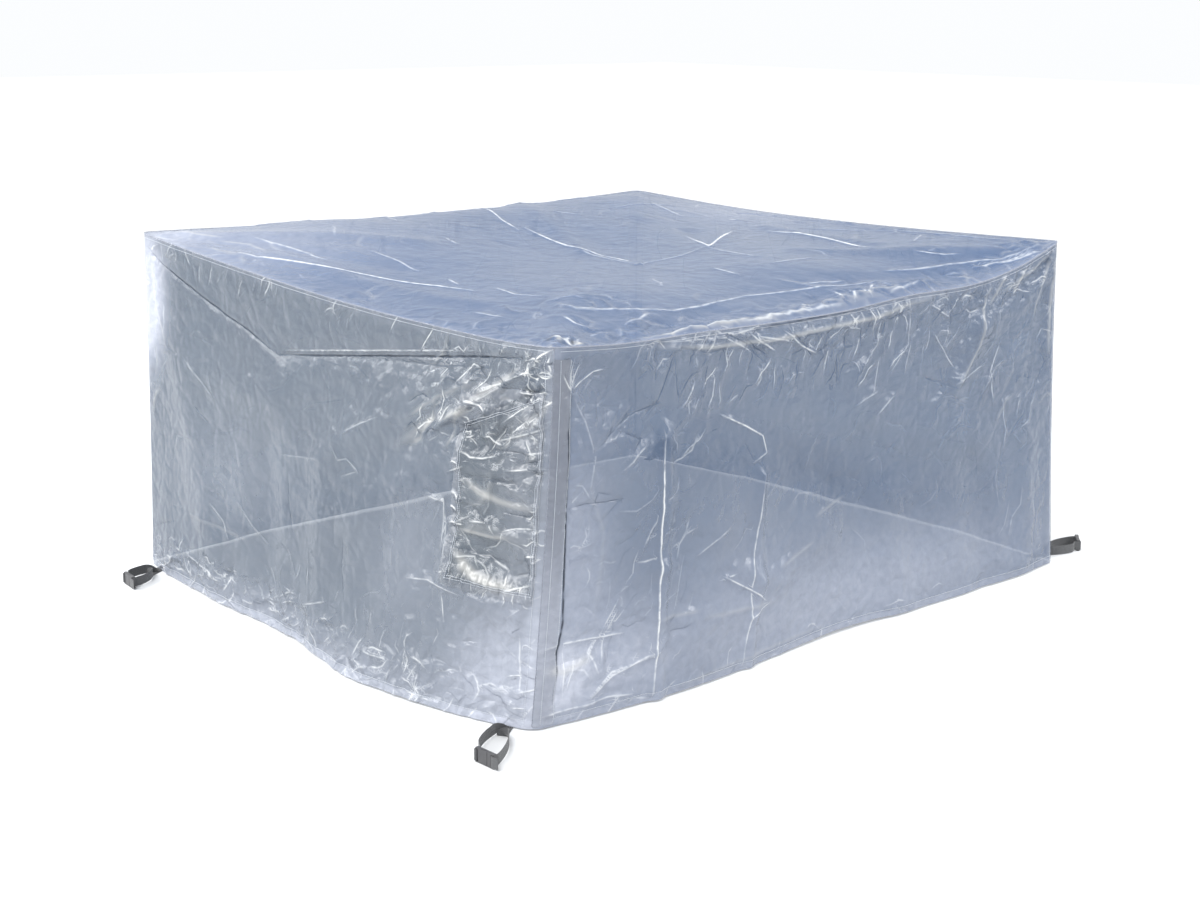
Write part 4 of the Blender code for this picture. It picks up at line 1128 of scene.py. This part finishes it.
end_walls = (walls["end_wall_near"], walls["end_wall_far"])
side_walls = (walls["side_wall_near"], walls["side_wall_far"])
for items, name, colour, deep, *rest in (
    ((top,), "film of the top", (0.050, 0.105, 0.226), (0.037, 0.083, 0.190), 0.75, 0.22, 0.4, 0.45, 70),
    (side_walls, "film of the long walls", (0.084, 0.126, 0.204), (0.056, 0.089, 0.156), 0.74, 0.22, 1.1),
    (end_walls, "film of the short walls", (0.088, 0.115, 0.152), (0.060, 0.082, 0.117), 0.72, 0.22, 1.1, 0.45, 10),
    ((patch,), "glossy film of the rectangle", (0.092, 0.114, 0.138), (0.056, 0.074, 0.094), 0.68, 0.23, 1.0, 0.7, 0),
    ((band,), "film of the corner band", (0.150, 0.168, 0.205), (0.110, 0.125, 0.160), 0.70, 0.24, 0.8, 0.45, 0),
    (welts, "film of the welts", (0.24, 0.27, 0.34), (0.20, 0.23, 0.30), 0.35, 0.25, 0.5),
):
    finish = film(name, colour, deep, *rest)
    for item in items:
        item.data.materials.append(finish)


# %% Thread
def thread_finish(name, colour):
    made, tree, paint = new_material(name)
    twist = speckle(tree, solid_place(tree), 900.0, 2.0)
    shade = mix(tree, twist, [c * 0.75 for c in colour[:3]] + [1], colour)
    paint({"Base Color": shade, "Roughness": 0.55, **bumps(tree, (twist, 0.0002), strength=0.6)})
    return made


# %% [markdown]
# ## Stitches
# A lockstitch is one short thread after another at an even pitch. Geometry Nodes place them: the tree walks
# along a curve, puts a small rounded thread at every step, turned along the seam, and ends in a plain mesh.
# Modelling each by hand would be slow, and a texture would have no height at the hem.

# %% One stitch, and the tree that repeats it
STITCH_PITCH = 0.0045
STITCH_LENGTH = 0.0034
THREAD_RADIUS = 0.00045
TILT = 0.12  # radians, at most


def stitch_tree(thread):
    tree = bpy.data.node_groups.new("stitches along a seam", "GeometryNodeTree")
    new_socket = tree.interface.new_socket
    new_socket("Geometry", in_out="INPUT", socket_type="NodeSocketGeometry")
    for title, value in (("Pitch", STITCH_PITCH), ("Stitch length", STITCH_LENGTH), ("Thread radius", THREAD_RADIUS)):
        new_socket(title, in_out="INPUT", socket_type="NodeSocketFloat").default_value = value
    new_socket("Seed", in_out="INPUT", socket_type="NodeSocketInt").default_value = 5
    new_socket("Geometry", in_out="OUTPUT", socket_type="NodeSocketGeometry")

    def add(kind, inputs, **settings):
        return node(tree, kind, inputs, **settings).outputs

    given = add("NodeGroupInput", {})
    curve = add("GeometryNodeMeshToCurve", {"Mesh": given["Geometry"]})
    steps = add("GeometryNodeCurveToPoints", {"Curve": curve["Curve"], "Length": given["Pitch"]}, mode="LENGTH")
    size = {"Radius": given["Thread radius"], "Depth": given["Stitch length"]}
    body = add("GeometryNodeMeshCylinder", {"Vertices": 5, **size}, fill_type="TRIANGLE_FAN")
    tilts = {"Min": (-TILT, -TILT, 0.0), "Max": (TILT, TILT, 0.0), "Seed": given["Seed"]}
    tilt = add("FunctionNodeRandomValue", tilts, data_type="FLOAT_VECTOR")
    where = {"Points": steps["Points"], "Rotation": steps["Rotation"]}
    put = add("GeometryNodeInstanceOnPoints", {"Instance": body["Mesh"], **where})
    turned = add("GeometryNodeRotateInstances", {"Instances": put["Instances"], "Rotation": tilt["Value"]})
    real = add("GeometryNodeRealizeInstances", {"Geometry": turned["Instances"]})
    painted = add("GeometryNodeSetMaterial", {"Geometry": real["Geometry"], "Material": thread})
    add("NodeGroupOutput", {"Geometry": painted["Geometry"]})
    return tree


def stitch(name, routes, tree, settings={}):
    """One mesh of stitches along several routes of points, above the ground."""
    points, edges = [], []
    for route in routes:
        first = len(points)
        points += [(x, y, z - MOUNT_HEIGHT) for x, y, z in route]
        edges += [(first + k, first + k + 1) for k in range(len(route) - 1)]
    mesh = bpy.data.meshes.new(name + "_line")
    mesh.from_pydata(points, edges, [])
    line = new_object(name + "_line", mesh)
    repeat = line.modifiers.new("stitches", "NODES")
    repeat.node_group = tree
    names = {item.name: item.identifier for item in tree.interface.items_tree if item.in_out == "INPUT"}
    for title, value in settings.items():
        repeat[names[title]] = value
    result = bpy.data.meshes.new_from_object(line.evaluated_get(bpy.context.evaluated_depsgraph_get()))
    result.name = name
    bpy.data.objects.remove(line, do_unlink=True)
    result.shade_smooth()
    print(name, "has", len(result.polygons), "faces")
    piece(name, result)


# %% Sew the seams
OFF_FACE = 0.0004  # a stitch lies half sunk in the film
RIM_ROW, HEM_ROW = 0.010, 0.978


def seam_line(name, start, end, count=None):
    """A line on a sheet from one place (along, down) to another, ready to be stitched."""
    count = count or max(8, int(np.hypot(end[0] - start[0], end[1] - start[1]) / SEAM_STEP))
    return on_sheet(name, *np.linspace(start, end, count).T, OFF_FACE)


rim_lines, hem_lines, corner_lines, patch_lines = [], [], [], []
for side in SIDES:
    length = side_length(side)
    rim_lines.append(seam_line(side.name, (0.014, RIM_ROW), (length - 0.014, RIM_ROW)))
    hem_lines.append(seam_line(side.name, (0.012, HEM_ROW), (length - 0.012, HEM_ROW)))
    for at in (CORNER_INSET + 0.007, length - CORNER_INSET - 0.007):
        if side is SIDE_NEAR and at < BAND_WIDTH:
            continue  # under the band
        corner_lines.append(seam_line(side.name, (at, 0.015), (at, 0.990), 140))
patch_columns = LAID["corner_patch_film"][0]
DROP = 0.82  # the wall's height there, which turns metres into shares of it
for inset in (-0.002, 0.003):
    high_left, low_left = patch_columns[0] + 0.016 + inset, patch_columns[0] + 0.032 + inset
    right = patch_columns[-1] - 0.006 - inset
    high, slope, low = PATCH_TOP + (0.012 + inset) / DROP, 0.085 / DROP, PATCH_BOTTOM - (0.018 + inset) / DROP
    corners = [(high_left, high + slope), (low_left, low), (right, low), (right, high)]
    for start, end in zip(corners, corners[1:] + corners[:1]):
        patch_lines.append(seam_line("corner_patch_film", start, end, 60))
band_lines = [
    seam_line("corner_band_film", (at, BAND_TOP + 0.005), (at, 0.985), 150)
    for at in (CORNER_INSET + 0.004, BAND_WIDTH - 0.003, BAND_WIDTH - 0.008)
]
lines = {"rim": rim_lines, "hem": hem_lines, "corner": corner_lines}
lines |= {"corner_patch": patch_lines, "corner_band": band_lines}
seam_stitches = stitch_tree(thread_finish("pale sewing thread", (0.66, 0.70, 0.76, 1)))
for name, routes in lines.items():
    stitch(name + "_stitches", routes, seam_stitches)

# %% [markdown]
# ## Webbing straps
# Each strap is two lengths of 25 mm webbing. Under the hem they lie one on the other as a sewn tab. Outside it
# one turns up on its left edge and the other on its right, they spread into a loop, and the buckle closes it. A
# strip is swept through the same stations as the solid's, with more of them, so that it bends smoothly.

# %% Strap sizes
WEB_WIDTH = 0.025
WEB_THICKNESS = 0.0016
BUCKLE_HEIGHT = 0.033
BUCKLE_YAW = radians(38)  # the plug's end lies farther out than the socket's

Strap = namedtuple("Strap", "name side at turn reach")
STRAPS = [
    Strap("strap_near", END_NEAR, 1.590, 38, 0.210),
    Strap("strap_left", END_NEAR, 0.080, 30, 0.155),
    Strap("strap_right", END_FAR, 0.070, -12, 0.165),
    Strap("strap_far", END_FAR, 1.585, 20, 0.165),
]
# From inside the hem outwards: how far out and aside, the height of the web's middle, and how far it has turned
# from flat, in degrees.
Start = namedtuple("Start", "out aside height turn")
SOCKET_START = rows(Start, """
-.02 0 .00275 0; .024 0 .00275 0; .031 -.0017 .0083 25; .038 -.0079 .0131 58; .045 -.017 .0137 90""", 1)
PLUG_START = rows(Start, """
-.02 0 .00085 0; .045 0 .00085 0; .053 .0022 .0076 -30; .06 .0091 .0124 -62; .067 .0175 .0137 -90""", 1)
# The rest of each web. First the share of the way from there to the buckle, and how far aside, then around the
# buckle's bar: how far along the buckle from its middle, and how far beyond it.
Loop = namedtuple("Loop", "share aside")
SOCKET_LOOP = [Loop(0.12, -0.0225), Loop(0.27, -0.0275), Loop(0.45, -0.0305), Loop(0.62, -0.0295)]
PLUG_LOOP = [Loop(0.15, 0.0225), Loop(0.34, 0.0275), Loop(0.60, 0.0300), Loop(0.85, 0.0290)]
Wrap = namedtuple("Wrap", "along beyond")
SOCKET_WRAP = rows(Wrap, """
-.0345 -.012; -.0322 -.005; -.0315 .002; -.0309 .0054; -.0283 .0067; -.0252 .0058; -.0243 .0035; -.0243 -.003
-.0243 -.0085""", 1)
PLUG_WRAP = rows(Wrap, """
.0215 -.015; .0232 -.008; .0237 -.002; .0239 .004; .0252 .0064; .03 .007; .037 .0066; .045 .0058""", 1)
WEBS = (
    ("web_socket", SOCKET_START, SOCKET_LOOP, SOCKET_WRAP),
    ("web_plug", PLUG_START, PLUG_LOOP, PLUG_WRAP),
)


# %% A strap's path and frame
def web_axes(ahead, turn):
    """The directions of a web's width and of its thickness."""
    ahead = Vector(ahead).normalized()
    level = Vector((-ahead.y, ahead.x, 0)).normalized()
    width = level * cos(turn) + ahead.cross(level) * sin(turn)
    return width, ahead.cross(width)


def web_stations(reach, start, loop, wrap):
    """One web of a strap, in its own frame: X out from the hem, Y along it, Z up. Its points, its ways, its turns."""
    points = [(row.out, row.aside, row.height) for row in start]
    turns = [radians(row.turn) for row in start]
    buckle_middle = BUCKLE_HEIGHT / 2
    last = start[-1]
    for row in loop:
        out = last.out + (reach - last.out) * row.share
        points.append((out, row.aside, last.height + (buckle_middle - last.height) * row.share))
    for row in wrap:
        out = reach + row.along * sin(BUCKLE_YAW) + row.beyond * cos(BUCKLE_YAW)
        aside = row.along * cos(BUCKLE_YAW) - row.beyond * sin(BUCKLE_YAW)
        points.append((out, aside, buckle_middle))
    ahead = np.gradient(np.array(points), axis=0)
    ahead[: len(start)] = (1, 0, 0)  # straight out while it turns
    return points, unit(ahead), turns + turns[-1:] * (len(points) - len(turns))


def strap_frame(strap):
    """The strap's own frame: on the ground under the hem, X outwards and turned along the wall."""
    share = np.array([(strap.at - CORNER_INSET) / (WIDTH - 2 * CORNER_INSET)])
    point = edge_points(strap.side, share, "hem")[0]
    outward, along = directions(strap.side)
    turn = radians(strap.turn)
    out = Vector(outward * cos(turn) + along * sin(turn))
    axes = Matrix((out, Vector((0, 0, 1)).cross(out), (0, 0, 1))).transposed().to_4x4()
    return Matrix.Translation((point[0], point[1], 0)) @ axes


# %% A web with rounded, slightly thinner selvedges
BETWEEN = 6  # rings from one station to the next
ACROSS = np.array([-1.0, -0.97, -0.90, -0.6, -0.3, 0.0, 0.3, 0.6, 0.90, 0.97, 1.0])
THICK = np.array([0.35, 0.80, 1.0, 0.92, 1.0, 0.92, 1.0, 0.92, 1.0, 0.80, 0.35])


def smoother(at, values):
    """Values given at stations, read between them on a curve that keeps to them."""
    values = np.asarray(values, dtype=float)
    k = np.clip(at.astype(int), 0, len(values) - 2)
    t = (at - k).reshape(-1, *[1] * (values.ndim - 1))
    return between(values, np.gradient(values, axis=0), k, t)


def make_web(name, stations, strap_place):
    last = len(stations[0]) - 1
    points, ways, turns = (smoother(np.linspace(0, last, last * BETWEEN + 1), values) for values in stations)
    ring = np.concatenate([np.stack([ACROSS, -THICK], 1), np.stack([ACROSS, THICK], 1)[::-1]])
    gone = travelled(points)
    tool = bmesh.new()
    layer = tool.loops.layers.uv.new("flat")
    rings = []
    for point, way, turn in zip(points, ways, turns):
        width, normal = web_axes(way, float(turn))
        offsets = [(width * (a * WEB_WIDTH / 2), normal * (b * WEB_THICKNESS / 2)) for a, b in ring]
        rings.append([tool.verts.new(Vector(point) + wide + thick) for wide, thick in offsets])
    for i, (one, two) in enumerate(zip(rings, rings[1:])):
        for k in range(len(ring)):
            m = (k + 1) % len(ring)
            face = tool.faces.new((one[k], one[m], two[m], two[k]))
            for corner, (c, r) in zip(face.loops, ((k, i), (m, i), (m, i + 1), (k, i + 1))):
                corner[layer].uv = (ring[c][0] * WEB_WIDTH / 2, gone[r])
    tool.faces.new(rings[0])
    tool.faces.new(rings[-1])
    bmesh.ops.recalc_face_normals(tool, faces=tool.faces)
    bmesh.ops.transform(tool, matrix=Matrix.Translation((0, 0, -MOUNT_HEIGHT)) @ strap_place, verts=tool.verts)
    mesh = bpy.data.meshes.new(name)
    tool.to_mesh(mesh)
    tool.free()
    mesh.shade_smooth()
    mesh.set_sharp_from_angle(angle=radians(50))
    mesh.materials.append(webbing)
    return piece(name, mesh), float(gone[-1])


# %% Webbing and buckle finishes
RIB, WARP, ZIGZAG = 0.0008, 0.0006, 0.003  # half of each pitch


def webbing_finish():
    """Woven polyester: ribs across it every 1.6 mm, in zigzag rows, over a warp of 1.2 mm, with a little dust."""
    made, tree, paint = new_material("dark woven webbing")
    plus, times, wave = (partial(math, tree, kind) for kind in ("ADD", "MULTIPLY", "PINGPONG"))
    place = flat_place(tree)
    across, ahead = node(tree, "ShaderNodeSeparateXYZ", {0: place}).outputs[:2]
    ribs = times(wave(plus(ahead, wave(across, ZIGZAG)), RIB), 1 / RIB)
    height = plus(ribs, times(times(wave(across, WARP), 1600.0), 0.5))
    dust = speckle(tree, place, 60.0, 5.0, Roughness=0.7)
    base = mix(tree, ribs, (0.030, 0.032, 0.036, 1), (0.085, 0.088, 0.094, 1))
    base = mix(tree, times(dust, 0.35), base, (0.20, 0.20, 0.20, 1))
    paint({"Base Color": base, "Roughness": 0.75, "Sheen Weight": 0.25, "Sheen Roughness": 0.4})
    paint(bumps(tree, (height, 0.0003), strength=0.9))
    return made


def plastic_finish():
    """Moulded plastic: a fine spark-eroded grain, slightly shinier where hands rub it."""
    made, tree, paint = new_material("moulded plastic of the buckles")
    place = solid_place(tree)
    worn = speckle(tree, place, 90.0, 4.0)
    base = mix(tree, worn, (0.040, 0.040, 0.044, 1), (0.085, 0.084, 0.088, 1))
    paint({"Base Color": base, "Roughness": spread(tree, worn, 0.28, 0.48)})
    paint(bumps(tree, (speckle(tree, place, 1400.0, 2.0), 0.00015), strength=0.5))
    return made


webbing, plastic = webbing_finish(), plastic_finish()

# %% The four straps, with a box and a cross sewn through each tab
TAB_TOP = 0.0038
TAB_STITCHES = {"Pitch": 0.003, "Stitch length": 0.0024}
TAB_BOX = [(3, -9), (21, -9), (21, 9), (3, 9), (3, -9), (21, 9), (21, -9), (3, 9)]  # millimetres
tab_lines = []
for strap in STRAPS:
    strap_place = strap_frame(strap)
    for title, *stations in WEBS:
        name = f"{strap.name}_{title}"
        web, length = make_web(name + "_woven", web_stations(strap.reach, *stations), strap_place)
        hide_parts(name)
        print(name, "is", round(length, 3), "m of webbing")
    corners = [strap_place @ Vector((x / 1000, y / 1000, TAB_TOP)) for x, y in TAB_BOX]
    for start, end in zip(corners, corners[1:]):
        tab_lines.append([tuple(start.lerp(end, t)) for t in (0, 0.5, 1)])
dark_thread = thread_finish("dark sewing thread", (0.045, 0.045, 0.05, 1))
stitch("tab_stitches", tab_lines, stitch_tree(dark_thread), TAB_STITCHES)

# %% Buckles keep their solids, which have their sockets, prongs and bars, and get moulded plastic
for strap in STRAPS:
    for half in ("plug", "socket"):
        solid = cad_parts[f"{strap.name}_{half}"]
        for place in solid.material_slots:
            place.link = "OBJECT"
            place.material = plastic

# %% [markdown]
# ## Stage
# A plain pale floor, a pale sky, four soft lamps and a broad main light. Film shows mostly by what it mirrors,
# so the large lamps stand where the creases of each wall turn their shine to the camera.

# %% Floor
FLOOR_HALF = 30.0
floor_mesh = bpy.data.meshes.new("floor")
floor_corners = [(x * FLOOR_HALF, y * FLOOR_HALF, -MOUNT_HEIGHT) for x, y in ((-1, -1), (1, -1), (1, 1), (-1, 1))]
floor_mesh.from_pydata(floor_corners, [], [(0, 1, 2, 3)])
floor_finish, _, paint = new_material("pale floor")
paint({"Base Color": (0.76, 0.77, 0.78, 1), "Roughness": 0.9})
floor_mesh.materials.append(floor_finish)
floor = new_object("floor", floor_mesh)

# %% Sky and lamps
world = bpy.data.worlds.new("pale sky")
world.use_nodes = True
fill(world.node_tree, world.node_tree.nodes["Background"], {"Color": (0.97, 0.985, 1.0, 1), "Strength": 1.0})
bpy.context.scene.world = world


def lamp(name, kind, at, towards, power):
    light = bpy.data.lights.new(name, kind)
    light.energy = power
    item = new_object(name, light)
    item.location = at
    item.rotation_euler = (Vector(at) - Vector(towards)).to_track_quat("Z", "Y").to_euler()
    return light


for name, at, towards, size, power in (
    ("window", (-4.5, 2.6, 2.2), (0, 0, -0.4), (2.8, 2.2), 160),
    ("side window", (3.6, -4.6, 2.4), (0, 0, -0.4), (2.4, 2.0), 130),
    ("overhead", (0.5, 1.2, 4.0), (0, 0, 0), (3.5, 3.5), 40),
    ("back window", (-2.2, 5.0, 2.0), (0, 0, -0.4), (2.4, 2.0), 70),
):
    light = lamp(name, "AREA", at, towards, power)
    light.shape = "RECTANGLE"
    light.size, light.size_y = size
lamp("main light", "SUN", (-0.55, -0.25, 0.80), (0, 0, 0), 2.0).angle = radians(25)

# %% [markdown]
# ## Camera
# It stands where the photograph was taken from, a little above the rim and a few metres off the near corner.

# %% Camera
CAMERA_AT = (-3.45775, -3.71539, 1.53205)
CAMERA_RIGHT = (0.73352974, -0.67960739, 0.00824088)
CAMERA_UP = (0.15202954, 0.17588577, 0.97260023)
LENS = 56.76
data = bpy.data.cameras.new("camera")
data.lens = LENS
data.sensor_width = 36.0
data.clip_start, data.clip_end = 0.02, 100.0
camera = new_object("camera", data)
right, up = Vector(CAMERA_RIGHT), Vector(CAMERA_UP)
turned = Matrix((right, up, right.cross(up))).transposed().to_4x4()
camera.matrix_world = Matrix.Translation(Vector(CAMERA_AT) - Vector((0, 0, MOUNT_HEIGHT))) @ turned
bpy.context.scene.camera = camera
bpy.context.scene.view_settings.view_transform = "Standard"
bpy.context.scene.cycles.transparent_max_bounces = 24
